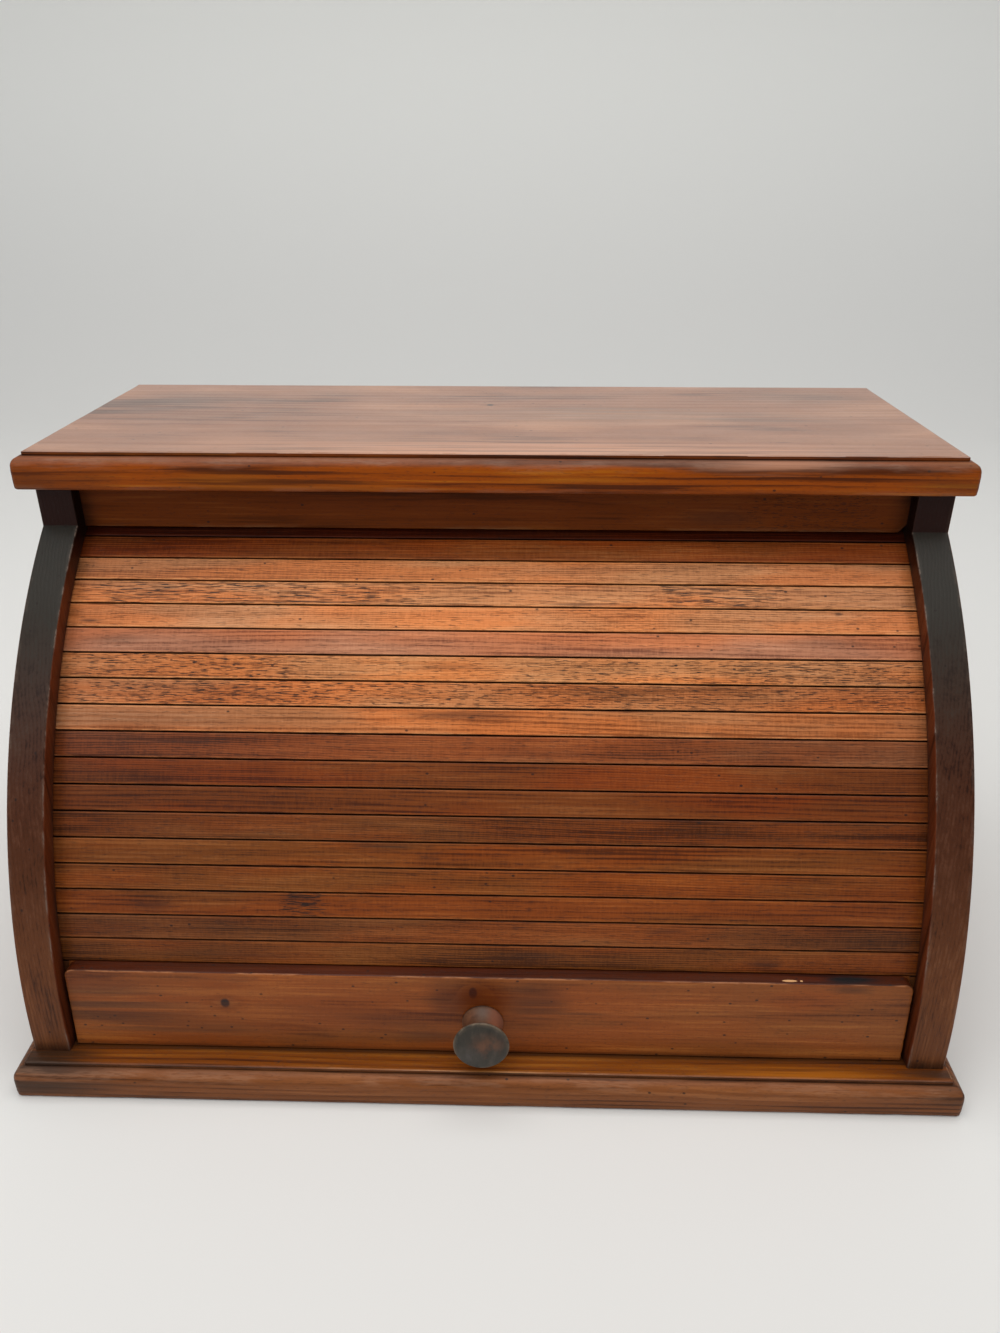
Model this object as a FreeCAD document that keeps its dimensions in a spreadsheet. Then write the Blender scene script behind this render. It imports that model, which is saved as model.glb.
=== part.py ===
"""Roll-top bread box: moulded base and top, curved cheeks, and a slatted tambour curtain.

Millimetres. +X is to the right, -Y is the front, +Z is up, and the origin is the centre of the
underside. The curtain runs on an arc about a line along X, close above the base's rear edge.
Angles along the curtain are measured about that line, from the horizontal towards the top.
"""

import FreeCAD, Part
import math
import os

import Sketcher
from FreeCAD import Placement, Rotation, Vector

doc = FreeCAD.newDocument("BreadBox")

# ---------------------------------------------------------------- driving dimensions

DIMENSIONS = [
    # name, value, meaning
    ("width", 482, "overall width of the base and top boards"),
    ("base_depth", 304, "front to back of the base board"),
    ("top_depth", 174, "front to back of the top board"),
    ("height", 300.5, "underside of the base to the top surface"),
    ("board", 18.5, "thickness of the base, the top and the cheeks"),
    ("mould_inset", 5.5, "radius of the quarter-round on the boards' edges"),
    ("mould_step", 2.2, "height of the square step above the quarter-round"),
    ("corner_radius", 7, "plan radius of the boards' front corners"),
    ("arris", 1, "small round on the boards' lower edges"),
    ("overhang", 8, "how far the base and top boards stand out past each cheek"),
    ("foot_margin", 13.3, "from the base's front edge back to the cheeks' foot"),
    ("post_setback", 7, "from the top board's front edge to the cheeks' upright front"),
    ("post_height", 21, "height of that upright, from the curved front to the top board"),
    ("curtain_inset", 11, "from the cheeks' front edge in to the curtain's outer face"),
    ("track_depth", 6, "depth of the rebate in each cheek that takes the slat ends"),
    ("track_gap", 1.2, "radial clearance between the curtain and the rebate's shoulder"),
    ("tongue", 5, "length of each slat end inside the rebate"),
    ("curtain_hidden", 37.5, "length of the curtain's arc behind the fascia when closed"),
    ("slat_count", 20, "number of slats behind the lead rail"),
    ("slat_gap", 0.59, "gap between two slats at their outer faces"),
    ("slat_taper", 0.6, "how much narrower a slat is at its inner face"),
    ("slat_thickness", 6, "thickness of a slat"),
    ("canvas_thickness", 0.8, "thickness of the canvas backing"),
    ("canvas_margin", 0.1, "each strip of canvas stops this far inside its slat's back"),
    ("canvas_inset", 12, "the canvas stops this far short of the cheeks"),
    ("canvas_lap", 24, "height of the canvas glued to the lead rail's back"),
    ("rail_width", 47.85, "length of the curtain's arc that the lead rail takes"),
    ("rail_proud", 6.5, "how far the lead rail stands out from the slats"),
    ("rail_end_gap", 1.7, "gap between each end of the lead rail and the cheek"),
    ("rail_rest_gap", 0.3, "gap below the closed lead rail"),
    ("rail_corner", 4.5, "radius of the lead rail's upper corners"),
    ("tongue_drop", 7, "the lead rail's tongues start this far below its upper edge"),
    ("fascia_setback", 16, "from the top board's front edge to the fascia's face"),
    ("fascia_thickness", 8, "thickness of the fascia"),
    ("fascia_reveal", 2.2, "height of the fascia's face above the rebate's shoulder"),
    ("back_thickness", 8, "thickness of the back panel"),
    ("knob_offset", -1, "knob's place along the lead rail, from the middle"),
    ("knob_height", 20, "knob's axis above the lead rail's lower edge, along its face"),
    ("knob_base_radius", 10.5, "radius of the knob where it meets the rail"),
    ("knob_neck_radius", 8.2, "radius of the knob's neck"),
    ("knob_foot", 2, "height of the knob's foot"),
    ("knob_neck_round", 3, "radius of the curves at the two ends of the knob's neck"),
    ("knob_face_radius", 14, "radius of the knob's head"),
    ("knob_rim", 16.5, "distance of the head's widest line from the rail"),
    ("knob_length", 19, "distance of the middle of the knob's face from the rail"),
    ("knob_screw_radius", 2, "shank radius of the screw through the rail into the knob"),
    ("knob_screw_head", 4, "head radius of the knob's screw"),
    ("knob_screw_bite", 11, "length of the knob's screw inside the knob"),
    ("base_screw_radius", 2, "shank radius of the screws through the base"),
    ("base_screw_head", 4, "head radius of the screws through the base"),
    ("base_screw_length", 45, "overall length of the screws through the base"),
    ("base_screw_sink", 0.5, "depth of those heads below the underside"),
    ("base_screw_inset", 32, "first and last base screw, from the cheek's two ends"),
    ("base_screw_count", 3, "screws through the base into each cheek"),
    ("dowel_radius", 4, "radius of the blind dowels under the top"),
    ("dowel_length", 26, "length of the blind dowels"),
    ("dowel_in_top", 11, "length of each dowel inside the top board"),
    ("dowel_inset", 26, "first and last dowel, from the ends of the cheek's upper edge"),
    ("dowel_count", 3, "dowels under the top in each cheek"),
    ("nail_radius", 1, "shank radius of the back panel's nails"),
    ("nail_head", 2, "head radius of the back panel's nails"),
    ("nail_length", 26, "overall length of the back panel's nails"),
    ("nail_inset", 24, "first and last nail, from the panel's upper and lower edges"),
    ("nail_count", 4, "nails up each side of the back panel"),
]

sheet = doc.addObject("Spreadsheet::Sheet", "Dims")
for row, (alias, size, meaning) in enumerate(DIMENSIONS, start=1):
    sheet.set(f"A{row}", alias)
    sheet.set(f"B{row}", str(size))
    sheet.setAlias(f"B{row}", alias)
    sheet.set(f"C{row}", meaning)
doc.recompute()

# Places worked out from the driving dimensions, as expressions on the sheet.
HALF_WIDTH = "(Dims.width / 2)"
BACK = "(Dims.base_depth / 2)"
UNDER_TOP = "(Dims.height - Dims.board)"
TOP_FRONT = f"({BACK} - Dims.top_depth)"
POST_FRONT = f"({TOP_FRONT} + Dims.post_setback)"
CHEEK_REAR = f"({BACK} - Dims.back_thickness)"
CHEEK_OUTER = f"({HALF_WIDTH} - Dims.overhang)"
CHEEK_INNER = f"({CHEEK_OUTER} - Dims.board)"

# The cheeks' front edge is an arc that leaves the base square, at the foot, and meets the
# foot of the upright. Its centre is level with the top of the base.
FOOT = f"(Dims.foot_margin - {BACK})"
ARC_RUN = f"({POST_FRONT} - {FOOT})"
ARC_RISE = f"({UNDER_TOP} - Dims.post_height - Dims.board)"
CHEEK_RADIUS = f"(({ARC_RUN} * {ARC_RUN} + {ARC_RISE} * {ARC_RISE}) / (2 * {ARC_RUN}))"
ARC_Y = f"({FOOT} + {CHEEK_RADIUS})"
ARC_Z = "Dims.board"
CURTAIN_RADIUS = f"({CHEEK_RADIUS} - Dims.curtain_inset)"
CURTAIN_BACK_RADIUS = f"({CURTAIN_RADIUS} - Dims.slat_thickness)"
TRACK_RADIUS = f"({CURTAIN_RADIUS} + Dims.track_gap)"
RAIL_FACE_RADIUS = f"({CURTAIN_RADIUS} + Dims.rail_proud)"
RAIL_FOOT = "(Dims.board + Dims.rail_rest_gap)"
FASCIA_FACE = f"({TOP_FRONT} + Dims.fascia_setback)"
SHOULDER_RUN = f"({ARC_Y} - {FASCIA_FACE})"
SHOULDER_RISE = f"sqrt({TRACK_RADIUS} * {TRACK_RADIUS} - {SHOULDER_RUN} * {SHOULDER_RUN})"
FASCIA_FOOT = f"({ARC_Z} + {SHOULDER_RISE} + Dims.fascia_reveal)"

# Angles along the curtain's arc, in degrees, up from the level of its centre.
DEGREES_PER_MM = f"(180 / pi / {CURTAIN_RADIUS})"
RAIL_ANGLE = f"(Dims.rail_width * {DEGREES_PER_MM})"
RAIL_LEAN = f"({RAIL_ANGLE} / 2)"
FASCIA_ANGLE = f"(atan({SHOULDER_RISE} / {SHOULDER_RUN}) / 1deg)"
CURTAIN_ANGLE = f"({FASCIA_ANGLE} + Dims.curtain_hidden * {DEGREES_PER_MM})"
SLAT_ANGLE = f"(({CURTAIN_ANGLE} - {RAIL_ANGLE}) / Dims.slat_count)"
SLAT_FACE = f"({SLAT_ANGLE} / {DEGREES_PER_MM} - Dims.slat_gap)"
SLAT_BACK = f"({SLAT_FACE} - Dims.slat_taper)"

HALF_SLAT = f"({CHEEK_INNER} + Dims.tongue)"
HALF_RAIL = f"({CHEEK_INNER} - Dims.rail_end_gap)"
HALF_CANVAS = f"({CHEEK_INNER} - Dims.canvas_inset)"
CHEEK_MID_X = f"({CHEEK_OUTER} - (Dims.board - Dims.track_depth) / 2)"

X_AXIS = Vector(1, 0, 0)
Z_AXIS = Vector(0, 0, 1)
ALONG_X = Rotation(Vector(0, 1, 0), 90)
ALONG_Y = Rotation(X_AXIS, -90)
OVERRUN = 1.0  # how far a cutting solid runs past the face that it cuts


def value(expression):
    """The number that an expression on the sheet has now."""
    result = sheet.evalExpression(expression)
    return float(getattr(result, "Value", result))


def bind(obj, expressions):
    """Ties properties of an object to expressions on the sheet."""
    for name, expression in expressions.items():
        obj.setExpression(name, expression)


def place(obj, x, y, z, rotation=None, angle=None):
    """Binds an object's position, and its turn about X if an angle is given."""
    if rotation is None:
        rotation = Rotation(X_AXIS, value(angle)) if angle else Rotation()
    obj.Placement = Placement(Vector(value(x), value(y), value(z)), rotation)
    bind(obj, {"Placement.Base.x": x, "Placement.Base.y": y, "Placement.Base.z": z})
    if angle:
        bind(obj, {"Placement.Rotation.Angle": angle})


def box(name, size, corner, angle=None):
    """A Part box with its size and lowest corner as expressions."""
    solid = doc.addObject("Part::Box", name)
    bind(solid, dict(zip(("Length", "Width", "Height"), size)))
    place(solid, *corner, angle=angle)
    return solid


def cylinder(name, radius, length, start, rotation=None, angle=None):
    """A Part cylinder that starts at a point and runs along Z, turned by the rotation."""
    solid = doc.addObject("Part::Cylinder", name)
    bind(solid, {"Radius": radius, "Height": length})
    place(solid, *start, rotation=rotation, angle=angle)
    return solid


def cone(name, radii, length, start, rotation=None):
    """A Part cone that starts at a point and runs along Z, turned by the rotation."""
    solid = doc.addObject("Part::Cone", name)
    bind(solid, {"Radius1": radii[0], "Radius2": radii[1], "Height": length})
    place(solid, *start, rotation=rotation)
    return solid


def combine(kind, name, shapes):
    """A boolean of several shapes: MultiFuse or MultiCommon."""
    result = doc.addObject(f"Part::{kind}", name)
    result.Shapes = shapes
    return result


def cut(name, base, tool):
    """The base shape less the tool."""
    result = doc.addObject("Part::Cut", name)
    result.Base = base
    result.Tool = tool
    return result


def new_body(name):
    return doc.addObject("PartDesign::Body", name)


def new_sketch(body, name, role, height=None):
    """A sketch on one of the body's origin planes, raised by an expression if given."""
    sketch = body.newObject("Sketcher::SketchObject", name)
    plane = next(f for f in body.Origin.OriginFeatures if f.Role == role)
    sketch.AttachmentSupport = [(plane, "")]
    sketch.MapMode = "FlatFace"
    if height:
        bind(sketch, {"AttachmentOffset.Base.z": height})
    return sketch


def pin_point(sketch, geometry, position, x, y):
    """Fixes one or both coordinates of a point of a sketch by expressions."""
    for kind, expression in (("DistanceX", x), ("DistanceY", y)):
        if expression is None:
            continue
        datum = Sketcher.Constraint(kind, -1, 1, geometry, position, value(expression))
        index = sketch.addConstraint(datum)
        bind(sketch, {f"Constraints[{index}]": expression})


def join_ends(sketch, count):
    """Joins each piece of a closed outline to the next."""
    for i in range(count):
        sketch.addConstraint(Sketcher.Constraint("Coincident", i, 2, (i + 1) % count, 1))


def draw_polygon(sketch, corners):
    """A closed polygon through corners given as pairs of expressions."""
    points = [Vector(value(x), value(y), 0) for x, y in corners]
    for start, end in zip(points, points[1:] + points[:1]):
        sketch.addGeometry(Part.LineSegment(start, end), False)
    join_ends(sketch, len(corners))
    for i, (x, y) in enumerate(corners):
        pin_point(sketch, i, 1, x, y)


def draw_plan(sketch, half_width, front, radius):
    """A board's outline: square at the back, with round corners at the front."""
    side = value(half_width)
    front_now = value(front)
    back_now = value(BACK)
    round_now = value(radius)
    middle_x = f"({half_width} - {radius})"
    middle_y = f"({front} + {radius})"
    middle_now = value(middle_y)
    points = {
        "front_left": Vector(round_now - side, front_now, 0),
        "front_right": Vector(side - round_now, front_now, 0),
        "right_front": Vector(side, middle_now, 0),
        "right_back": Vector(side, back_now, 0),
        "left_back": Vector(-side, back_now, 0),
        "left_front": Vector(-side, middle_now, 0),
    }
    right = Part.Circle(Vector(side - round_now, middle_now, 0), Z_AXIS, round_now)
    left = Part.Circle(Vector(round_now - side, middle_now, 0), Z_AXIS, round_now)
    outline = [
        Part.LineSegment(points["front_left"], points["front_right"]),
        Part.ArcOfCircle(right, -math.pi / 2, 0),
        Part.LineSegment(points["right_front"], points["right_back"]),
        Part.LineSegment(points["right_back"], points["left_back"]),
        Part.LineSegment(points["left_back"], points["left_front"]),
        Part.ArcOfCircle(left, math.pi, 3 * math.pi / 2),
    ]
    for piece in outline:
        sketch.addGeometry(piece, False)
    join_ends(sketch, len(outline))
    pin_point(sketch, 0, 1, f"(-{middle_x})", front)
    pin_point(sketch, 0, 2, middle_x, front)
    pin_point(sketch, 1, 3, middle_x, middle_y)
    pin_point(sketch, 5, 3, f"(-{middle_x})", middle_y)
    pin_point(sketch, 2, 2, half_width, BACK)
    pin_point(sketch, 3, 2, f"(-{half_width})", BACK)
    pin_point(sketch, 2, 1, None, middle_y)
    pin_point(sketch, 4, 2, None, middle_y)


def pad(body, name, sketch, length, both_ways=False):
    feature = body.newObject("PartDesign::Pad", name)
    feature.Profile = sketch
    feature.Midplane = both_ways
    bind(feature, {"Length": length})
    doc.recompute()
    return feature


def edges_where(shape, test):
    """Names of the edges whose bounding box passes a test."""
    return [f"Edge{i}" for i, edge in enumerate(shape.Edges, 1) if test(edge.BoundBox)]


def fillet(body, name, feature, test, radius):
    """Rounds the edges of a feature that pass a test."""
    edges = edges_where(feature.Shape, test)
    if not edges:
        raise RuntimeError(f"{name} found no edges")
    result = body.newObject("PartDesign::Fillet", name)
    result.Base = (feature, edges)
    bind(result, {"Radius": radius})
    doc.recompute()
    return result


NEAR = 0.01  # two places closer than this are the same


def same(a, b):
    return abs(a - b) < NEAR


# ---------------------------------------------------------------- fastener places


def spread(first, last, count):
    """Expressions for evenly spaced places between two others."""
    return [f"({first} + ({last} - {first}) * {i} / {count - 1})" for i in range(count)]


def both_sides(x, places):
    return [(f"({side} * {x})", place_) for side in (-1, 1) for place_ in places]


CHEEK_FOOT_FRONT = f"({ARC_Y} - {TRACK_RADIUS})"
BASE_SCREWS = both_sides(
    CHEEK_MID_X,
    spread(
        f"({CHEEK_FOOT_FRONT} + Dims.base_screw_inset)",
        f"({CHEEK_REAR} - Dims.base_screw_inset)",
        int(value("Dims.base_screw_count")),
    ),
)
TOP_DOWELS = both_sides(
    CHEEK_MID_X,
    spread(
        f"({POST_FRONT} + Dims.dowel_inset)",
        f"({CHEEK_REAR} - Dims.dowel_inset)",
        int(value("Dims.dowel_count")),
    ),
)
BACK_NAILS = both_sides(
    CHEEK_MID_X,
    spread(
        "(Dims.board + Dims.nail_inset)",
        f"({UNDER_TOP} - Dims.nail_inset)",
        int(value("Dims.nail_count")),
    ),
)


def base_screws(name):
    """Countersunk wood screws, driven up through the base into the cheeks."""
    pieces = []
    sink = "Dims.base_screw_sink"
    head_height = "(Dims.base_screw_head - Dims.base_screw_radius)"
    for i, (x, y) in enumerate(BASE_SCREWS):
        head = cone(
            f"{name}_head_{i}",
            ("Dims.base_screw_head", "Dims.base_screw_radius"),
            head_height,
            (x, y, sink),
        )
        shank = cylinder(
            f"{name}_shank_{i}",
            "Dims.base_screw_radius",
            f"(Dims.base_screw_length - {head_height})",
            (x, y, f"({sink} + {head_height})"),
        )
        pieces.append(combine("MultiFuse", f"{name}_{i}", [head, shank]))
    return pieces


def base_screw_mouths():
    """The recess below each base screw's head, out through the underside."""
    depth = f"(Dims.base_screw_sink + {OVERRUN})"
    return [
        cylinder(f"screw_mouth_{i}", "Dims.base_screw_head", depth, (x, y, f"(-{OVERRUN})"))
        for i, (x, y) in enumerate(BASE_SCREWS)
    ]


def top_dowels(name):
    """Blind dowels, half in each cheek's upper edge and half in the top board."""
    bottom = f"({UNDER_TOP} + Dims.dowel_in_top - Dims.dowel_length)"
    return [
        cylinder(f"{name}_{i}", "Dims.dowel_radius", "Dims.dowel_length", (x, y, bottom))
        for i, (x, y) in enumerate(TOP_DOWELS)
    ]


def back_nails(name):
    """Flat-headed nails through the back panel, flush with it, into the cheeks."""
    pieces = []
    for i, (x, z) in enumerate(BACK_NAILS):
        tip = f"({BACK} - Dims.nail_length)"
        shank = cylinder(
            f"{name}_shank_{i}", "Dims.nail_radius", "Dims.nail_length", (x, tip, z), ALONG_Y
        )
        head = cylinder(
            f"{name}_head_{i}",
            "Dims.nail_head",
            "Dims.nail_radius",
            (x, f"({BACK} - Dims.nail_radius)", z),
            ALONG_Y,
        )
        pieces.append(combine("MultiFuse", f"{name}_{i}", [shank, head]))
    return pieces


SCREWS = base_screws("base_screw")
DOWELS = top_dowels("top_dowel")
NAILS = back_nails("back_nail")


# ---------------------------------------------------------------- boards


def moulded_board(name, depth, height):
    """A board whose front and side edges are routed to a step and a quarter-round.

    The board lies with its underside at the height given, and its rear edge, left square, at
    the back of the box.
    """
    body = new_body(f"{name}_blank")
    front = f"({BACK} - {depth})"
    ledge = "(Dims.board - Dims.mould_step)"
    plan = new_sketch(body, f"{name}_plan", "XY_Plane")
    draw_plan(plan, HALF_WIDTH, front, "Dims.corner_radius")
    slab = pad(body, f"{name}_slab", plan, ledge)
    back_now = value(BACK)

    def routed(level):
        def test(b):
            return same(b.ZMin, level) and same(b.ZMax, level) and not same(b.YMin, back_now)

        return test

    moulded = fillet(body, f"{name}_mould", slab, routed(value(ledge)), "Dims.mould_inset")
    fillet(body, f"{name}_arris", moulded, routed(0), "Dims.arris")
    field_plan = new_sketch(body, f"{name}_field_plan", "XY_Plane", ledge)
    draw_plan(
        field_plan,
        f"({HALF_WIDTH} - Dims.mould_inset)",
        f"({front} + Dims.mould_inset)",
        "(Dims.corner_radius - Dims.mould_inset)",
    )
    pad(body, f"{name}_field", field_plan, "Dims.mould_step")
    place(body, "0", "0", height)
    return body


def base_board(name):
    blank = moulded_board(name, "Dims.base_depth", "0")
    holes = combine("MultiFuse", f"{name}_holes", SCREWS + base_screw_mouths())
    return cut(name, blank, holes)


def top_board(name):
    blank = moulded_board(name, "Dims.top_depth", UNDER_TOP)
    holes = combine("MultiFuse", f"{name}_holes", DOWELS)
    return cut(name, blank, holes)


def cheek(name, side):
    """An end board: quadrant front below, upright above, with a rebate for the slat ends."""
    outer = f"(-{CHEEK_OUTER})" if side < 0 else CHEEK_INNER
    depth_inside = f"(Dims.track_depth + {OVERRUN})"
    if side < 0:
        pocket_start = f"(-{CHEEK_INNER} - Dims.track_depth)"
    else:
        pocket_start = f"({CHEEK_INNER} - {OVERRUN})"
    tall = f"({UNDER_TOP} - Dims.board)"
    slab = box(
        f"{name}_slab",
        ("Dims.board", f"({CHEEK_REAR} - {FOOT})", tall),
        (outer, FOOT, "Dims.board"),
    )
    disc = cylinder(
        f"{name}_disc", CHEEK_RADIUS, "Dims.board", (outer, ARC_Y, ARC_Z), ALONG_X
    )
    curved = combine("MultiCommon", f"{name}_curved", [slab, disc])
    post = box(
        f"{name}_post",
        ("Dims.board", f"({CHEEK_REAR} - {POST_FRONT})", tall),
        (outer, POST_FRONT, "Dims.board"),
    )
    blank = combine("MultiFuse", f"{name}_blank", [curved, post])
    blank.Refine = True
    space = box(
        f"{name}_space",
        (depth_inside, f"({CHEEK_REAR} + {OVERRUN} - {FOOT})", f"({tall} + 2 * {OVERRUN})"),
        (pocket_start, FOOT, f"(Dims.board - {OVERRUN})"),
    )
    sweep = cylinder(
        f"{name}_sweep", TRACK_RADIUS, depth_inside, (pocket_start, ARC_Y, ARC_Z), ALONG_X
    )
    rebate = combine("MultiCommon", f"{name}_rebate", [space, sweep])
    holes = combine("MultiFuse", f"{name}_holes", [rebate] + SCREWS + DOWELS + NAILS)
    return cut(name, blank, holes)


def back_panel(name):
    """A thin board behind the cheeks, between the base and the top."""
    panel = box(
        f"{name}_blank",
        (f"(2 * {CHEEK_OUTER})", "Dims.back_thickness", f"({UNDER_TOP} - Dims.board)"),
        (f"(-{CHEEK_OUTER})", CHEEK_REAR, "Dims.board"),
    )
    holes = combine("MultiFuse", f"{name}_holes", NAILS)
    return cut(name, panel, holes)


def top_rail(name):
    """The fascia under the top board, hollowed below to clear the curtain."""
    strip = box(
        f"{name}_strip",
        (f"(2 * {CHEEK_INNER})", "Dims.fascia_thickness", f"({UNDER_TOP} - {FASCIA_FOOT})"),
        (f"(-{CHEEK_INNER})", FASCIA_FACE, FASCIA_FOOT),
    )
    sweep = cylinder(
        f"{name}_sweep",
        TRACK_RADIUS,
        f"(2 * {CHEEK_OUTER})",
        (f"(-{CHEEK_OUTER})", ARC_Y, ARC_Z),
        ALONG_X,
    )
    return cut(name, strip, sweep)


# ---------------------------------------------------------------- curtain


def on_arc(radius, angle):
    """Expressions for Y and Z of a point at a radius and an angle along the curtain."""
    return (
        f"({ARC_Y} - {radius} * cos({angle} * 1deg))",
        f"({ARC_Z} + {radius} * sin({angle} * 1deg))",
    )


def rail_point(radius, drop="0"):
    """A point on the lead rail's section near its upper edge, a distance below it."""
    y, z = on_arc(radius, RAIL_ANGLE)
    return (
        f"({y} - ({drop}) * sin({RAIL_LEAN} * 1deg))",
        f"({z} - ({drop}) * cos({RAIL_LEAN} * 1deg))",
    )


def lead_rail(name):
    """The curtain's flat lower rail, with a tongue at each end that runs in the rebate."""
    body = new_body(f"{name}_blank")
    section = new_sketch(body, f"{name}_section", "YZ_Plane")
    draw_polygon(
        section,
        [
            (f"({ARC_Y} - {RAIL_FACE_RADIUS})", RAIL_FOOT),
            (f"({ARC_Y} - {CURTAIN_BACK_RADIUS})", RAIL_FOOT),
            rail_point(CURTAIN_BACK_RADIUS),
            rail_point(RAIL_FACE_RADIUS),
        ],
    )
    board = pad(body, f"{name}_board", section, f"(2 * {HALF_RAIL})", both_ways=True)
    end_now = value(HALF_RAIL)
    top_now = value(rail_point(CURTAIN_BACK_RADIUS)[1]) - NEAR

    def upper_corner(b):
        return b.XLength < NEAR and same(abs(b.XMax), end_now) and b.ZMin > top_now

    fillet(body, f"{name}_corners", board, upper_corner, "Dims.rail_corner")
    tongue_section = new_sketch(body, f"{name}_tongue_section", "YZ_Plane")
    draw_polygon(
        tongue_section,
        [
            (f"({ARC_Y} - {CURTAIN_RADIUS})", RAIL_FOOT),
            (f"({ARC_Y} - {CURTAIN_BACK_RADIUS})", RAIL_FOOT),
            rail_point(CURTAIN_BACK_RADIUS, "Dims.tongue_drop"),
            rail_point(CURTAIN_RADIUS, "Dims.tongue_drop"),
        ],
    )
    pad(body, f"{name}_tongues", tongue_section, f"(2 * {HALF_SLAT})", both_ways=True)
    return cut(name, body, KNOB_HOLE)


# The knob's axis stands square to the lead rail's face, which leans back by half its angle.
RAIL_TURN = f"(90 - {RAIL_LEAN})"
KNOB_Y = f"({ARC_Y} - {RAIL_FACE_RADIUS} + Dims.knob_height * sin({RAIL_LEAN} * 1deg))"
KNOB_Z = f"({RAIL_FOOT} + Dims.knob_height * cos({RAIL_LEAN} * 1deg))"
RAIL_DEPTH = "(Dims.rail_proud + Dims.slat_thickness)"


def along_knob(distance):
    """Expressions for a point on the knob's axis, a distance out from the rail's face."""
    return (
        "Dims.knob_offset",
        f"({KNOB_Y} - ({distance}) * cos({RAIL_LEAN} * 1deg))",
        f"({KNOB_Z} + ({distance}) * sin({RAIL_LEAN} * 1deg))",
    )


def knob_screw(name):
    """The screw from behind the lead rail into the knob, its head sunk in the rail."""
    head_height = "(Dims.knob_screw_head - Dims.knob_screw_radius)"
    shank_length = f"({RAIL_DEPTH} - 2 * {head_height} + Dims.knob_screw_bite)"
    shank = cylinder(
        f"{name}_shank",
        "Dims.knob_screw_radius",
        shank_length,
        along_knob(f"2 * {head_height} - {RAIL_DEPTH}"),
        angle=RAIL_TURN,
    )
    head = cylinder(
        f"{name}_head",
        "Dims.knob_screw_head",
        head_height,
        along_knob(f"{head_height} - {RAIL_DEPTH}"),
        angle=RAIL_TURN,
    )
    mouth = cylinder(
        f"{name}_mouth",
        "Dims.knob_screw_head",
        f"({head_height} + {OVERRUN})",
        along_knob(f"(-{OVERRUN}) - {RAIL_DEPTH}"),
        angle=RAIL_TURN,
    )
    screw = combine("MultiFuse", name, [shank, head])
    hole = combine("MultiFuse", f"{name}_hole", [shank, head, mouth])
    return screw, hole


def knob(name):
    """A turned knob: a round foot, a narrower neck and a broad, slightly domed head."""
    body = new_body(f"{name}_blank")
    section = new_sketch(body, f"{name}_section", "XZ_Plane")
    flare = "(Dims.knob_face_radius - Dims.knob_neck_radius)"
    neck_end = f"(Dims.knob_rim - {flare})"
    draw_polygon(
        section,
        [
            ("0", "0"),
            ("Dims.knob_base_radius", "0"),
            ("Dims.knob_base_radius", "Dims.knob_foot"),
            ("Dims.knob_neck_radius", f"({neck_end} - Dims.knob_foot)"),
            ("Dims.knob_neck_radius", neck_end),
            ("Dims.knob_face_radius", "Dims.knob_rim"),
            ("(Dims.knob_face_radius - Dims.arris)", "(Dims.knob_rim + Dims.arris)"),
            ("0", "Dims.knob_length"),
        ],
    )
    turned = body.newObject("PartDesign::Revolution", f"{name}_turned")
    turned.Profile = section
    turned.ReferenceAxis = (section, ["V_Axis"])
    turned.Angle = 360
    doc.recompute()
    neck_now = value("Dims.knob_neck_radius")

    def neck_line(b):
        return same(b.XMax, neck_now) and same(b.ZMin, b.ZMax)

    fillet(body, f"{name}_neck", turned, neck_line, "Dims.knob_neck_round")
    place(body, *along_knob("0"), angle=RAIL_TURN)
    return cut(name, body, KNOB_HOLE)


def slat(name, number):
    """One slat: a strip, slightly narrower at the back, tangent to the curtain's arc."""
    angle = f"({RAIL_ANGLE} + {SLAT_ANGLE} * {number - 0.5})"
    body = new_body(f"{name}_body")
    section = new_sketch(body, f"{name}_section", "YZ_Plane")
    draw_polygon(
        section,
        [
            ("0", f"(-{SLAT_FACE} / 2)"),
            ("Dims.slat_thickness", f"(-{SLAT_BACK} / 2)"),
            ("Dims.slat_thickness", f"({SLAT_BACK} / 2)"),
            ("0", f"({SLAT_FACE} / 2)"),
        ],
    )
    pad(body, f"{name}_strip", section, f"(2 * {HALF_SLAT})", both_ways=True)
    y, z = on_arc(CURTAIN_RADIUS, angle)
    place(body, "0", y, z, angle=f"(-{angle})")
    return body


def canvas_strip(name, number):
    """The piece of canvas glued to the back of one slat."""
    angle = f"({RAIL_ANGLE} + {SLAT_ANGLE} * {number - 0.5})"
    width = f"({SLAT_BACK} - 2 * Dims.canvas_margin)"
    y, z = on_arc(CURTAIN_BACK_RADIUS, angle)
    corner = (
        f"(-{HALF_CANVAS})",
        f"({y} - {width} / 2 * sin({angle} * 1deg))",
        f"({z} - {width} / 2 * cos({angle} * 1deg))",
    )
    size = (f"(2 * {HALF_CANVAS})", "Dims.canvas_thickness", width)
    return box(name, size, corner, angle=f"(-{angle})")


def canvas_lead(name):
    """The end of the canvas, glued to the back of the lead rail."""
    y, z = rail_point(CURTAIN_BACK_RADIUS, "Dims.canvas_lap + Dims.canvas_margin")
    size = (f"(2 * {HALF_CANVAS})", "Dims.canvas_thickness", "Dims.canvas_lap")
    return box(name, size, (f"(-{HALF_CANVAS})", y, z), angle=f"(-{RAIL_LEAN})")


# ---------------------------------------------------------------- the pieces


def group(name, pieces):
    """Identical fasteners, kept as one group of separate solids."""
    result = doc.addObject("Part::Compound", name)
    result.Links = pieces
    return result


KNOB_SCREW, KNOB_HOLE = knob_screw("knob_screw")

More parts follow.
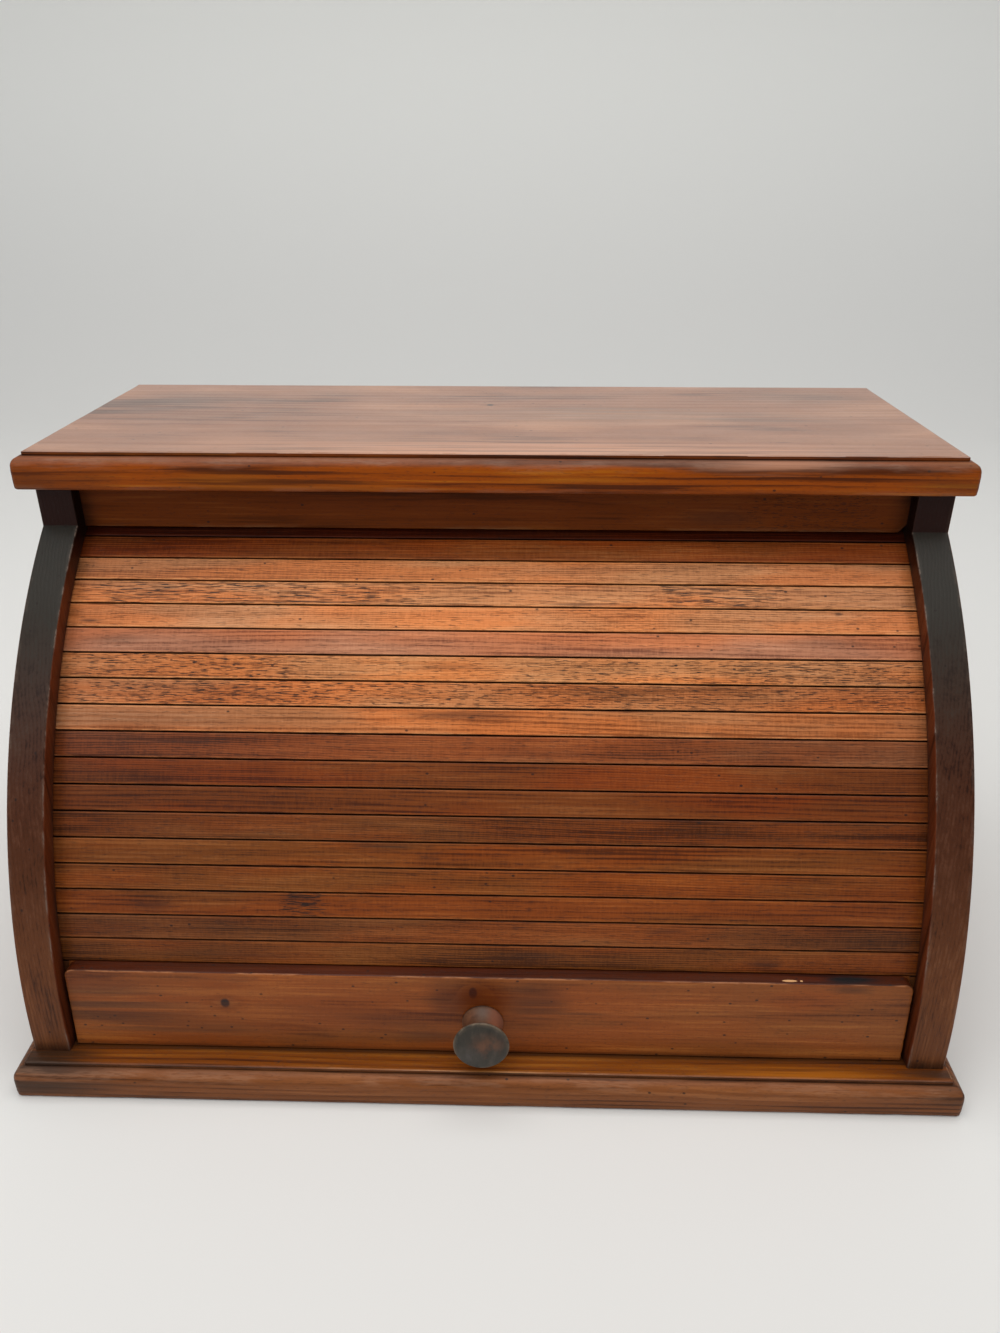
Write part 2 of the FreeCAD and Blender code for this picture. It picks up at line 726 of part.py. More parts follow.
NODES = {
    "base_board": base_board("base_board"),
    "top_board": top_board("top_board"),
    "left_cheek": cheek("left_cheek", -1),
    "right_cheek": cheek("right_cheek", 1),
    "back_panel": back_panel("back_panel"),
    "top_rail": top_rail("top_rail"),
    "base_screws": group("base_screws", SCREWS),
    "top_dowels": group("top_dowels", DOWELS),
    "back_nails": group("back_nails", NAILS),
    "lead_rail": lead_rail("lead_rail"),
    "knob": knob("knob"),
    "knob_screw": KNOB_SCREW,
    "canvas_lead": canvas_lead("canvas_lead"),
}
for number in range(1, int(value("Dims.slat_count")) + 1):
    slat_name = f"slat_{number:02d}"
    canvas_name = f"canvas_{number:02d}"
    NODES[slat_name] = slat(slat_name, number)
    NODES[canvas_name] = canvas_strip(canvas_name, number)

for name, node in NODES.items():
    node.Label = name

doc.recompute()

# ---------------------------------------------------------------- checks and files

for obj in doc.Objects:
    if "Invalid" in obj.State or "Error" in obj.State:
        raise RuntimeError(f"{obj.Label} failed: {obj.State}")

os.makedirs("parts", exist_ok=True)
for name, node in NODES.items():
    shape = node.Shape
    if shape.isNull() or not shape.isValid() or not shape.Solids:
        raise RuntimeError(f"{name} has no valid solid")
    shape.exportStep(f"parts/{name}.step")
    print(f"{name}: {len(shape.Solids)} solid, {shape.Volume / 1000:.1f} cm3")
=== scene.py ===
"""Roll-top bread box, dressed for rendering round the CAD frame.

Metres, in the frame's own axes: +X right, -Y front, +Z up, origin under the middle of the base.
Sizes, profiles and the places of marks are millimetres, and MM turns them into metres. What the
nodes compare with a place is in metres.
"""

import math

import bmesh
import bpy
from mathutils import Matrix, Vector, noise


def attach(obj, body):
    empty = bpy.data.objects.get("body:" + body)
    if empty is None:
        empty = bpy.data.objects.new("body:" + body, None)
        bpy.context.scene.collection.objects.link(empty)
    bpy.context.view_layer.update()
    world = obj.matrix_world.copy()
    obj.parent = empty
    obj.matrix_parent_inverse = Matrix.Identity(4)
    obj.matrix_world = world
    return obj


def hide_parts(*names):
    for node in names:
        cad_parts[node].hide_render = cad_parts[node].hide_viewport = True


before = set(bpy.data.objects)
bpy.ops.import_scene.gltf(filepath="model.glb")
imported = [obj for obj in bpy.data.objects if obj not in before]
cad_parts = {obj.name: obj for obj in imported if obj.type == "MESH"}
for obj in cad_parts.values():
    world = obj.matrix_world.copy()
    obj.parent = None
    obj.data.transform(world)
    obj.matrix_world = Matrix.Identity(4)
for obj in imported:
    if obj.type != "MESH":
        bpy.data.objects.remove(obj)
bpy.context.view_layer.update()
MM = 0.001

# ---- sizes of the solids, mm

HALF_WIDTH = 241
BACK = 152
BASE_FRONT, TOP_FRONT = -152, -22
HEIGHT, BOARD = 300.5, 18.5
UNDER_TOP = HEIGHT - BOARD
CHEEK_OUTER, CHEEK_INNER = 233, 214.5
REBATE_FLOOR = CHEEK_INNER + 6
POST_FRONT, POST_FOOT_Z = -15, 261
CHEEK_REAR = 144
ARC_Y, ARC_Z = 160.847, 18.5
CHEEK_RADIUS = 299.547
CURTAIN_RADIUS = CHEEK_RADIUS - 11
TRACK_RADIUS = CURTAIN_RADIUS + 1.2
RAIL_FACE_RADIUS = CURTAIN_RADIUS + 6.5
SLAT_THICKNESS = 6
RAIL_ANGLE, SLAT_ANGLE = 9.5014, 2.63935
SLAT_FACE, SLAT_BACK = 12.7, 12.1
HALF_SLAT, HALF_RAIL = 219.5, 212.8
RAIL_FOOT = 18.8
SLAT_COUNT = 20


def unevenness(*place, size=1):
    """A smooth wobble from -size to size that depends only on the place."""
    return noise.noise(Vector((*place, 0.5)[:3])) * size


def cos_sin(degrees):
    angle = math.radians(degrees)
    return math.cos(angle), math.sin(angle)


def arc_point(radius, degrees):
    """Y and Z on an arc about the curtain's centre, from its foot upwards."""
    cos, sin = cos_sin(degrees)
    return ARC_Y - radius * cos, ARC_Z + radius * sin


def round_over(centre, radius, start, end, steps):
    """Points of a small arc in a profile; the angles are in degrees."""
    turns = [cos_sin(start + (end - start) * k / steps) for k in range(steps + 1)]
    return [(centre[0] + radius * cos, centre[1] + radius * sin) for cos, sin in turns]


def add_object(name, data):
    made = bpy.data.objects.new(name, data)
    bpy.context.scene.collection.objects.link(made)
    return made


# ---- meshes


class Skin:
    """Points with their wear and their grime with painted shade, and the faces between them, in
    millimetres.
    """

    def __init__(self):
        self.points, self.wear, self.grime, self.faces = [], [], [], []

    def add(self, x, y, z, wear=0, grime=0):
        self.points.append((x * MM, y * MM, z * MM))
        self.wear.append(wear)
        self.grime.append(grime)
        return len(self.points) - 1

    def sheet(self, rows):
        """Quads between rows of points."""
        for first, second in zip(rows, rows[1:]):
            self.faces += zip(first, first[1:], second[1:], second)

    def face(self, corners):
        self.faces.append(tuple(corners))

    def tube(self, rows):
        """Quads round closed rows of points, with a lid on each end."""
        self.sheet([row + row[:1] for row in rows])
        self.face(rows[0])
        self.face(reversed(rows[-1]))

    def make(self, node, material, body):
        """The piece that stands for a CAD node, riding on that node's body."""
        name = node + "_dressed"
        mesh = bpy.data.meshes.new(name)
        mesh.from_pydata(self.points, [], self.faces)
        shell = bmesh.new()
        shell.from_mesh(mesh)
        bmesh.ops.recalc_face_normals(shell, faces=shell.faces)
        shell.to_mesh(mesh)
        shell.free()
        for label, values in (("wear", self.wear), ("grime", self.grime)):
            mesh.attributes.new(label, "FLOAT", "POINT").data.foreach_set("value", values)
        mesh.shade_smooth()
        mesh.set_sharp_from_angle(angle=math.radians(38))
        mesh.materials.append(material)
        piece = add_object(name, mesh)
        weights = piece.modifiers.new("even_normals", "WEIGHTED_NORMAL")
        weights.keep_sharp = True
        weights.weight = 80
        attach(piece, body)
        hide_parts(node)
        return piece


# ---- shader building


class Shader:
    """Short ways to make one material's nodes. Colours are sockets or three numbers."""

    def __init__(self, name, owners=bpy.data.materials):
        self.owner = owners.new(name)
        self.owner.use_nodes = True
        self.tree = self.owner.node_tree
        self.tree.nodes.clear()

    def node(self, kind, inputs=None, **settings):
        made = self.tree.nodes.new("ShaderNode" + kind)
        for name, value in settings.items():
            setattr(made, name, value)
        for key, value in (inputs or {}).items():
            if isinstance(value, bpy.types.NodeSocket):
                self.tree.links.new(value, made.inputs[key])
            else:
                made.inputs[key].default_value = value
        return made

    def place(self):
        """Object coordinates, in metres."""
        return self.node("TexCoord").outputs["Object"]

    def normal(self):
        return self.node("TexCoord").outputs["Normal"]

    def parts(self, vector):
        """The three parts of a place, a normal or a colour."""
        return self.node("SeparateXYZ", {0: vector}).outputs

    def stored(self, label):
        """The wear, or the grime with painted shade, that the mesh's points carry."""
        return self.node("Attribute", attribute_name=label).outputs["Fac"]

    def math(self, operation, a, b=0, clamp=False):
        return self.node("Math", {0: a, 1: b}, operation=operation, use_clamp=clamp).outputs[0]

    def times(self, a, b):
        return self.math("MULTIPLY", a, b)

    def plus(self, a, b, clamp=False):
        return self.math("ADD", a, b, clamp)

    def less(self, a, b):
        return self.math("SUBTRACT", a, b)

    def vectors(self, operation, a, b):
        return self.node("VectorMath", {0: a, 1: b}, operation=operation).outputs[0]

    def smooth(self, value, low, high, start=0, end=1):
        """Start below low, end above high, and smooth between."""
        inputs = {"Value": value, "From Min": low, "From Max": high, "To Min": start, "To Max": end}
        return self.node("MapRange", inputs, interpolation_type="SMOOTHSTEP").outputs[0]

    def noise(self, place, scale, detail=2, roughness=0.5):
        """Noise from 0 to 1 with its features scaled along the three axes."""
        moved = self.node("Mapping", {"Vector": place, "Scale": scale}).outputs[0]
        inputs = {"Vector": moved, "Scale": 1, "Detail": detail, "Roughness": roughness}
        return self.node("TexNoise", inputs, noise_dimensions="3D").outputs[0]

    def mix(self, factor, a, b, blend="MIX"):
        a, b = (c if isinstance(c, bpy.types.NodeSocket) else (*c, 1) for c in (a, b))
        made = self.node("Mix", {0: factor, 6: a, 7: b}, data_type="RGBA", blend_type=blend)
        return made.outputs[2]

    def glaze(self, colour, tint):
        """The colour as it is seen through a tint."""
        return self.mix(1, colour, tint, "MULTIPLY")

    def ramp(self, factor, places, colours):
        made = self.node("ValToRGB", {0: factor})
        made.color_ramp.interpolation = "EASE"
        points = made.color_ramp.elements
        while len(points) < len(places):
            points.new(0.5)
        for point, place, colour in zip(points, places, colours):
            point.position, point.color = place, (*colour, 1)
        return made.outputs[0]

    def spot(self, grain, x, y, z, along, across, core=0):
        """1 at a place, fading to 0 at a reach along the grain and across it, in millimetres."""
        moved = self.vectors("SUBTRACT", grain, (x * MM, y * MM, z * MM))
        scale = [1 / (reach * MM) for reach in (along, across, across)]
        moved = self.vectors("MULTIPLY", moved, scale)
        away = self.node("VectorMath", {0: moved}, operation="LENGTH").outputs["Value"]
        return self.smooth(away, core, 1, 1, 0)

    def finish(self, colour, roughness, height, bump, **sockets):
        """The finished material; the bump is in metres."""
        inputs = {"Base Color": colour, "Roughness": roughness}
        if height is not None:
            relief = self.node("Bump", {"Height": height, "Distance": bump, "Strength": 1})
            inputs["Normal"] = relief.outputs[0]
        inputs.update({key.replace("_", " "): value for key, value in sockets.items()})
        surface = self.node("BsdfPrincipled", inputs)
        self.node("OutputMaterial", {0: surface.outputs[0]})
        return self.owner


def grain_place(s, upright):
    """Object coordinates with the grain's direction first."""
    place = s.place()
    if not upright:
        return place
    x, y, z = s.parts(place)
    return s.node("CombineXYZ", {0: z, 1: y, 2: x}).outputs[0]


# The second colour is grime: dirt, with painted shade in corners, at feet and at ends.
STAIN, DIRT_AND_SHADE = (0.02, 0.012, 0.01), (0.014, 0.008, 0.006)
KNOT_CORE, BARE_WOOD = (0.016, 0.011, 0.011), (0.66, 0.36, 0.16)
WOOD_BUMP = 0.00016


class Wood(Shader):
    """A wood's nodes, with its grain to hand: along it first, in metres."""

    def __init__(self, name, upright, seed):
        super().__init__(name)
        self.grain = grain_place(self, upright)
        self.moved = self.vectors("ADD", self.grain, seed)

    def figure(self, along, across, detail, roughness=0.5):
        """Noise that is drawn out along the grain."""
        return self.noise(self.moved, (along, across, across), detail, roughness)


def growth_rings(s, pith, ring_gap, knots):
    """Lines about the pith, bent by slow wobbles and pushed aside by the knots."""
    wobble = s.figure(3, 9, 2).node.outputs["Color"]
    wobble = s.vectors("SUBTRACT", wobble, (0.5,) * 3)
    wobble = s.node("VectorMath", {0: wobble, "Scale": 0.014}, operation="SCALE").outputs[0]
    bent = s.parts(s.vectors("ADD", s.grain, wobble))
    aside = s.less(bent[1], pith[0] * MM)
    up = s.less(bent[2], pith[1] * MM)
    ring = s.math("SQRT", s.plus(s.times(aside, aside), s.times(up, up)))
    cores = []
    for x, y, z, along, across in knots:
        push = s.spot(s.grain, x, y, z, along * 5, across * 2.5)
        ring = s.plus(ring, s.times(push, across * MM * 0.5))
        halo = s.times(s.spot(s.grain, x, y, z, along * 3.2, across * 1.8), 0.3)
        core = s.times(s.spot(s.grain, x, y, z, along, across, 0.45), 0.95)
        cores.append(s.math("MAXIMUM", halo, core))
    uneven = s.figure(1.2, 55, 1)
    phase = s.plus(s.math("DIVIDE", ring, ring_gap * MM), s.times(uneven, 3))
    saw = s.math("FRACT", phase)
    return s.less(s.smooth(saw, 0.3, 0.86), s.smooth(saw, 0.88, 1)), cores


def vary_hue(s, colour, warmth):
    """Patches of cooler and of warmer wood."""
    patches = s.figure(9, 50, 2)
    cool = (1 - 0.08 * warmth, 1, 1 + 0.15 * warmth)
    warm = (1 + 0.1 * warmth, 1 - 0.08 * warmth, 1 - 0.25 * warmth)
    return s.glaze(colour, s.ramp(patches, (0.38, 0.62), (cool, warm)))


def stained_pores(s, colour, flecks, dash, zones):
    """Short dashes of stain, thicker and denser in the zones."""
    dashes = s.figure(dash, 2400, 1, 0.6)
    density = flecks
    for *place, strength in zones:
        patch = s.times(s.spot(s.grain, *place, 0.55), strength)
        density = s.math("MAXIMUM", density, patch)
    fleck = s.plus(dashes, s.times(density, 0.085))
    fleck = s.times(s.smooth(fleck, 0.615, 0.675), s.smooth(density, 0, 0.6, 0.25, 0.88))
    return s.mix(fleck, colour, STAIN), fleck


def pin_dots(s, colour, pins, pin_scale):
    """Tiny dots of stain."""
    dots = s.node("Mapping", {"Vector": s.moved, "Scale": (100, 150, 150)}).outputs[0]
    dots = s.node("TexVoronoi", {"Vector": dots, "Scale": pin_scale}, voronoi_dimensions="3D").outputs
    chance = s.parts(dots["Color"])[0]
    dot = s.smooth(dots["Distance"], 0.05 * pin_scale, 0.11 * pin_scale, 1, 0)
    dot = s.times(dot, s.math("LESS_THAN", chance, pins))
    return s.mix(s.times(dot, 0.8), colour, STAIN)


def place_marks(s, colour, streak, marks, chips):
    """Ragged dark marks and pale chips."""
    for x, y, z, along, across, strength, *shade in marks:
        mark = s.spot(s.grain, x, y, z, along, across, 0.2)
        ragged = s.times(mark, s.smooth(streak, 0.38, 0.58, 0.15, 1))
        colour = s.mix(s.times(ragged, strength), colour, *(shade or [STAIN]))
    for place in chips:
        colour = s.mix(s.spot(s.grain, *place, 0.75), colour, BARE_WOOD)
    return colour


def rub_soil_and_shade(s, colour, worn, unrubbed):
    """Rubbed arrises, and dirt with painted shade in the corners."""
    rubbed = s.stored("wear")
    patchy = s.figure(30, 130, 2, 0.6)
    fretted = s.figure(150, 1300, 2, 0.6)
    rubbed = s.times(rubbed, s.smooth(patchy, unrubbed, unrubbed + 0.16, 0.06, 1))
    rubbed = s.times(rubbed, s.smooth(fretted, 0.36, 0.56, 0.25, 1))
    colour = s.mix(rubbed, colour, worn)
    # Dirt with painted shade, where the points carry grime.
    darkened = s.times(s.stored("grime"), s.smooth(patchy, 0.25, 0.6, 1, 0.6))
    return s.mix(darkened, colour, DIRT_AND_SHADE), rubbed


def wood(
    name, tones, seed, upright=False, pith=(30, -160), ring_gap=2.2, ring_strength=0.35,
    streaks=0.9, fibres=0.75, blotches=0.9, ticks=0, warmth=0, flecks=0, dash=300,
    fleck_zones=(), pins=0.5, pin_scale=1, knots=(), marks=(), chips=(), end_tone=0.55,
    gloss=0.42, coat=0.04, shine=0.2, worn=(0.62, 0.36, 0.22), unrubbed=0.44, tint=None,
):
    """Stained and varnished softwood, its lengths in millimetres.

    tones are its deep, middle and light colours; pith is the centre of the growth rings, across
    the grain. ring_strength, streaks, fibres, blotches and ticks say how much these show, and
    warmth how much the hue varies. flecks are stained pores, shorter for a higher dash and denser
    in the zones; pins is the share of tiny dots that show, smaller for a higher pin_scale. Knots
    and pale chips are (x, y, z, along, across); zones and marks add a strength, and a mark may
    add its colour. unrubbed is how much of the rubbed edges is left alone.
    """
    s = Wood(name, upright, seed)
    line, knot_cores = growth_rings(s, pith, ring_gap, knots)
    streak = s.figure(6, 240, 3, 0.6)
    fibre = s.figure(22, 850, 4, 0.62)
    blotch = s.figure(7, 24, 2, 0.55)
    tone = s.math("MULTIPLY_ADD", streak, streaks)
    tone.node.inputs[2].default_value = 0.5 - streaks / 2
    noises = [(fibre, fibres), (blotch, blotches)]
    if ticks:
        noises.append((s.figure(900, 150, 2, 0.6), ticks))
    for part, strength in noises:
        tone = s.plus(tone, s.times(s.less(part, 0.5), strength))
    tone = s.less(tone, s.times(line, ring_strength))
    colour = s.ramp(tone, (0.05, 0.45, 0.85), tones)
    if warmth:
        colour = vary_hue(s, colour, warmth)
    if tint:
        colour = tint(s, colour)
    colour, fleck = stained_pores(s, colour, flecks, dash, fleck_zones)
    colour = pin_dots(s, colour, pins, pin_scale)
    for core in knot_cores:
        colour = s.mix(core, colour, KNOT_CORE)
    colour = place_marks(s, colour, streak, marks, chips)

    # End grain drinks more stain.
    facing = s.parts(s.normal())[2 if upright else 0]
    end = s.smooth(s.math("ABSOLUTE", facing), 0.35, 0.95)
    colour = s.mix(end, colour, s.glaze(colour, (end_tone,) * 3))
    colour, rubbed = rub_soil_and_shade(s, colour, worn, unrubbed)

    smear = s.figure(22, 40, 3, 0.6)
    roughness = s.plus(s.times(smear, 0.22), gloss - 0.11)
    roughness = s.plus(roughness, s.times(line, 0.06))
    roughness = s.plus(roughness, s.times(rubbed, 0.12), clamp=True)
    height = s.plus(s.times(line, -0.25), s.times(fibre, 0.35))
    height = s.less(height, s.times(fleck, 0.6))
    height = s.plus(height, s.times(smear, 0.8))
    sockets = {"Coat_Weight": coat, "Coat_Roughness": 0.24, "Specular_IOR_Level": shine}
    return s.finish(colour, roughness, height, WOOD_BUMP, **sockets)


# ---- tones

BROWN = ((0.085, 0.02, 0.003), (0.234, 0.06, 0.009), (0.345, 0.107, 0.022))
DARK_BROWN = ((0.06, 0.015, 0.003), (0.19, 0.051, 0.01), (0.29, 0.09, 0.022))
RED_BROWN = ((0.075, 0.015, 0.003), (0.205, 0.046, 0.007), (0.29, 0.081, 0.017))
MID_BROWN = ((0.078, 0.021, 0.006), (0.235, 0.066, 0.019), (0.36, 0.119, 0.038))
ORANGE = ((0.25, 0.072, 0.017), (0.56, 0.188, 0.056), (0.72, 0.29, 0.106))
LIT_ORANGE = ((0.286, 0.086, 0.022), (0.655, 0.238, 0.074), (0.825, 0.352, 0.13))
PALE_ORANGE = ((0.262, 0.083, 0.021), (0.595, 0.216, 0.066), (0.765, 0.326, 0.12))
LIGHT_ORANGE = ((0.31, 0.095, 0.022), (0.66, 0.245, 0.08), (0.8, 0.345, 0.135))
PINK_BROWN = ((0.21, 0.062, 0.026), (0.52, 0.19, 0.082), (0.66, 0.27, 0.125))
SIDE_BROWN = ((0.075, 0.019, 0.004), (0.205, 0.054, 0.012), (0.3, 0.096, 0.025))
# Painted shadow: slat 17 is partly and slat 18 wholly shaded by the fascia.
SHADOW_BROWN = ((0.11, 0.02, 0.001), (0.27, 0.06, 0.008), (0.39, 0.12, 0.026))
UNLIT_BROWN = ((0.018, 0.003, 0.001), (0.06, 0.009, 0.002), (0.11, 0.02, 0.005))
FASCIA_BROWN = ((0.055, 0.012, 0.001), (0.14, 0.029, 0.002), (0.21, 0.055, 0.006))
LOW_BROWN = ((0.078, 0.022, 0.005), (0.216, 0.067, 0.017), (0.318, 0.113, 0.035))
FRONT_EDGE = ((0.09, 0.017, 0.001), (0.33, 0.064, 0.001), (0.49, 0.148, 0.006))
TOP_TONE = ((0.12, 0.052, 0.031), (0.32, 0.138, 0.074), (0.44, 0.208, 0.113))
INSIDE_BROWN = ((0.1, 0.032, 0.01), (0.25, 0.084, 0.027), (0.36, 0.135, 0.05))
FIELD_BROWN = ((0.064, 0.013, 0.001), (0.19, 0.047, 0.003), (0.29, 0.093, 0.01))
RAIL_BROWN = ((0.09328, 0.0212, 0.00424), (0.2629, 0.06996, 0.01166), (0.4081, 0.1325, 0.0265))
LOW_EDGE = ((0.05, 0.015, 0.005), (0.134, 0.041, 0.012), (0.22, 0.08, 0.029))
# Painted reflection, grey-green, for the cheeks' leaning fronts; painted shadow, near black, for their
# uprights.
REFLECTED_GREY_GREEN, POST_SHADOW_BLACK = (0.0275, 0.027, 0.0215), (0.018, 0.003, 0.001)

# ---- base and top boards

MOULD_RADIUS, MOULD_STEP = 5.5, 2.2
# The mouldings meet in a mitre that is never sharper than the least radius.
CORNER_RADIUS, LEAST_RADIUS, MITRE_RUN = 3, 0.6, 5
FRONT_PACE, SIDE_PACE = 3.5, 5


def plan_path(front):
    """(anchor, outward) round a board's left side, front and right side, in plan."""
    x, y = HALF_WIDTH - CORNER_RADIUS, front + CORNER_RADIUS
    along_side = max(2, round((BACK - y) / SIDE_PACE))
    along_front = round(2 * x / FRONT_PACE)
    corner_steps = 8
    path = [((-x, BACK - (BACK - y) * k / along_side), (-1, 0)) for k in range(along_side)]
    for k in range(corner_steps + 1):
        path.append(((-x, y), cos_sin(180 + 90 * k / corner_steps)))
    run = x - MITRE_RUN
    path += [((-run + 2 * run * k / along_front, y), (0, -1)) for k in range(along_front + 1)]
    mirrored = [((-a[0], a[1]), (-o[0], o[1])) for a, o in reversed(path[: along_side + corner_steps + 1])]
    return path + mirrored


def edge_profile():
    """(inset, height, wear, grime with painted shade) up a board's moulded edge, from underside to surface.
    """
    shoulder = BOARD - MOULD_STEP - MOULD_RADIUS
    rows = [(4, 0, 0, 0), (1.6, 0, 0, 0.3)]
    rows += [(1 - u, v, 0.2, 0.35) for u, v in round_over((0, 1), 1, -90, 0, 4)]
    rows += [(0, shoulder * share, 0, 0) for share in (0.3, 0.5, 0.7, 0.88)]
    # Dirt with painted shade darkens the step's corner at the top of the quarter-round.
    for k in range(9):
        cos, sin = cos_sin(90 * k / 8)
        wear, darkening = 0.28 - 0.2 * abs(k - 4) / 4, (0, 0.35, 0.8)[max(0, k - 6)]
        rows.append((MOULD_RADIUS * (1 - cos), shoulder + MOULD_RADIUS * sin, wear, darkening))
    rows.append((MOULD_RADIUS, BOARD - MOULD_STEP + 0.4, 0, 1))
    rows += [(MOULD_RADIUS, BOARD - 1.2, 0, 0.55), (MOULD_RADIUS, BOARD - 0.8, 0, 0.85)]
    arris = 0.6
    for degrees, wear, darkening in ((20, 0, 0.8), (50, 0.8, 0.1), (90, 0.25, 0)):
        cos, sin = cos_sin(degrees)
        rows.append((MOULD_RADIUS + arris - arris * cos, BOARD - arris + arris * sin, wear, darkening))
    return rows + [(MOULD_RADIUS + 0.9, BOARD, 0, 0), (MOULD_RADIUS + 1.4, BOARD, 0, 0)]


def moulded_board(name, edge_wood, field_wood, front, underside, seed):
    """A board with the routed edge on its front and sides, slightly uneven as if hand sanded."""
    skin = Skin()
    columns = []
    for (ax, ay), (ox, oy) in plan_path(front):
        column = []
        for inset, height, wear, grime in edge_profile():
            reach = max(CORNER_RADIUS - inset, LEAST_RADIUS)
            shift = inset + reach
            x = max(shift - HALF_WIDTH, min(HALF_WIDTH - shift, ax)) + ox * reach
            y = max(front + shift, ay) + oy * reach
            dent = 0.16 + unevenness(x * 0.03 + seed, y * 0.03, height * 0.15, size=0.16)
            dent += max(0, unevenness(x * 0.11, y * 0.11 + seed, height * 0.3, size=0.4) - 0.12)
            at_rear = ay > BACK - SIDE_PACE / 2
            if wear > 0 and not at_rear:
                x, y = x - ox * dent, y - oy * dent
                height -= 0.4 * dent if height > BOARD - 1 else 0
            column.append(skin.add(x, y, underside + height, wear, grime))
        columns.append(column)
    skin.sheet(columns)
    skin.face(column[0] for column in columns)
    skin.face(column[-1] for column in reversed(columns))
    skin.face(columns[0][::-1] + columns[-1])
    board = skin.make(name, edge_wood, "cabinet")
    board.data.materials.append(field_wood)
    surface = (underside + BOARD - 0.4) * MM
    for face in board.data.polygons:
        face.material_index = int(face.center.z > surface and face.normal.z > 0.8)


def round_shade(s, colour):
    """Painted shading: greys the upper, upward-facing part of the quarter-round."""
    up = s.parts(s.normal())[2]
    return s.mix(s.smooth(up, 0.3, 0.75, 0, 0.6), colour, (0.15, 0.072, 0.045))


def rail_foot_shadow(s, colour):
    """Painted shadow on the base along the lead rail's foot."""
    depth = s.parts(s.place())[1]
    darkened = s.smooth(depth, -0.138, -0.1345, 0, 0.7)
    darkened = s.times(darkened, s.smooth(depth, -0.125, -0.115, 1, 0))
    return s.mix(darkened, colour, (0.02, 0.008, 0.003))


TOP_STAIN = (0.15, 0.095, 0.07)
TOP_GRAIN = {"seed": (0.31, 0.12, 0.05), "pith": (20, 200), "ring_gap": 4.2}
TOP_EDGE_WOOD = wood(
    "wood_top_edge", FRONT_EDGE, ring_strength=0.24, streaks=1.1,
    blotches=1.2, flecks=0.1, gloss=0.38, coat=0, shine=0.12, worn=(0.34, 0.2, 0.14),
    marks=(
        (236, -22, 291, 50, 12, 0.6, (0.07, 0.02, 0.006)),
        (-238, -22, 287, 30, 12, 0.6, (0.07, 0.022, 0.006)),
        (-205, -22, 287.5, 30, 8, 0.4, (0.07, 0.022, 0.006)),
        (-136, -22, 287.5, 45, 6, 0.9, (0.36, 0.095, 0.004)),
        (142, -19.5, 295.5, 55, 6, 0.9, (0.42, 0.19, 0.11)),
        (-100, -22, 285.5, 85, 4, 0.7, (0.37, 0.098, 0.004)),
        (45, -22, 288.5, 50, 3.5, 0.6, (0.4, 0.118, 0.005)),
    ),
    tint=round_shade, **TOP_GRAIN,
)
TOP_WOOD = wood(
    "wood_top_board", TOP_TONE, ring_strength=0.09, streaks=0.24,
    blotches=1.7, flecks=0.05, knots=((-4, 96, 300.5, 2.8, 2.8),),
    marks=(
        (-65, -4, 300.5, 200, 35, 0.5, (0.5, 0.235, 0.13)),
        (40, -12, 300.5, 220, 30, 1, (0.58, 0.27, 0.15)),
        (60, 70, 300.5, 190, 28, 0.45, TOP_STAIN),
        (119, 127, 300.5, 22, 4.5, 0.7),
        (60, 85, 300.5, 70, 12, 0.45, TOP_STAIN),
        (150, 60, 300.5, 60, 10, 0.4, TOP_STAIN),
        (-180, 110, 300.5, 60, 30, 0.4, TOP_STAIN),
        (190, 120, 300.5, 60, 25, 0.5, TOP_STAIN),
        (-17, 54, 300.5, 6, 1.2, 0.7),
        (-135, 71, 300.5, 9, 1, 0.7),
        (150, 10, 300.5, 7, 1.5, 0.6),
    ),
    gloss=0.4, coat=0.55, shine=0.5, worn=(0.42, 0.23, 0.15), unrubbed=0.52, **TOP_GRAIN,
)
BASE_GRAIN = {
    "seed": (1.7, 0.4, 0.9), "pith": (-50, -90), "ring_gap": 2.6, "blotches": 1.1, "flecks": 0.1,
}
BASE_EDGE_WOOD = wood(
    "wood_base_edge", LOW_BROWN, ring_strength=0.24, shine=0.14,
    worn=(0.42, 0.22, 0.13),
    marks=(
        (-236, -150, 12, 70, 24, 0.9, (0.046, 0.022, 0.012)),
        (240, -150, 15, 30, 16, 0.5, (0.045, 0.024, 0.014)),
    ),
    **BASE_GRAIN,
)
BASE_WOOD = wood(
    "wood_base_board", FIELD_BROWN, ring_strength=0.3, gloss=0.38,
    worn=(0.5, 0.26, 0.12), unrubbed=0.54,
    marks=(
        (-4, -146.2, 18.5, 45, 0.9, 1, (0.75, 0.36, 0.12)),
        (157, -143, 18.5, 55, 8, 1, (0.34, 0.1, 0.005)),
        # The last three marks are painted shadows round the feet of the cheeks and the ends of the rail.
        (-233, -138, 18.5, 48, 40, 1, (0.04, 0.016, 0.006)),
        (-233, -138, 18.5, 40, 40, 0.8, (0.04, 0.016, 0.006)),
        (236, -138, 18.5, 36, 40, 0.9, (0.055, 0.022, 0.01)),
    ),
    tint=rail_foot_shadow, **BASE_GRAIN,
)
moulded_board("base_board", BASE_EDGE_WOOD, BASE_WOOD, BASE_FRONT, 0, 3.1)
moulded_board("top_board", TOP_EDGE_WOOD, TOP_WOOD, TOP_FRONT, UNDER_TOP, 7.7)

# ---- cheeks


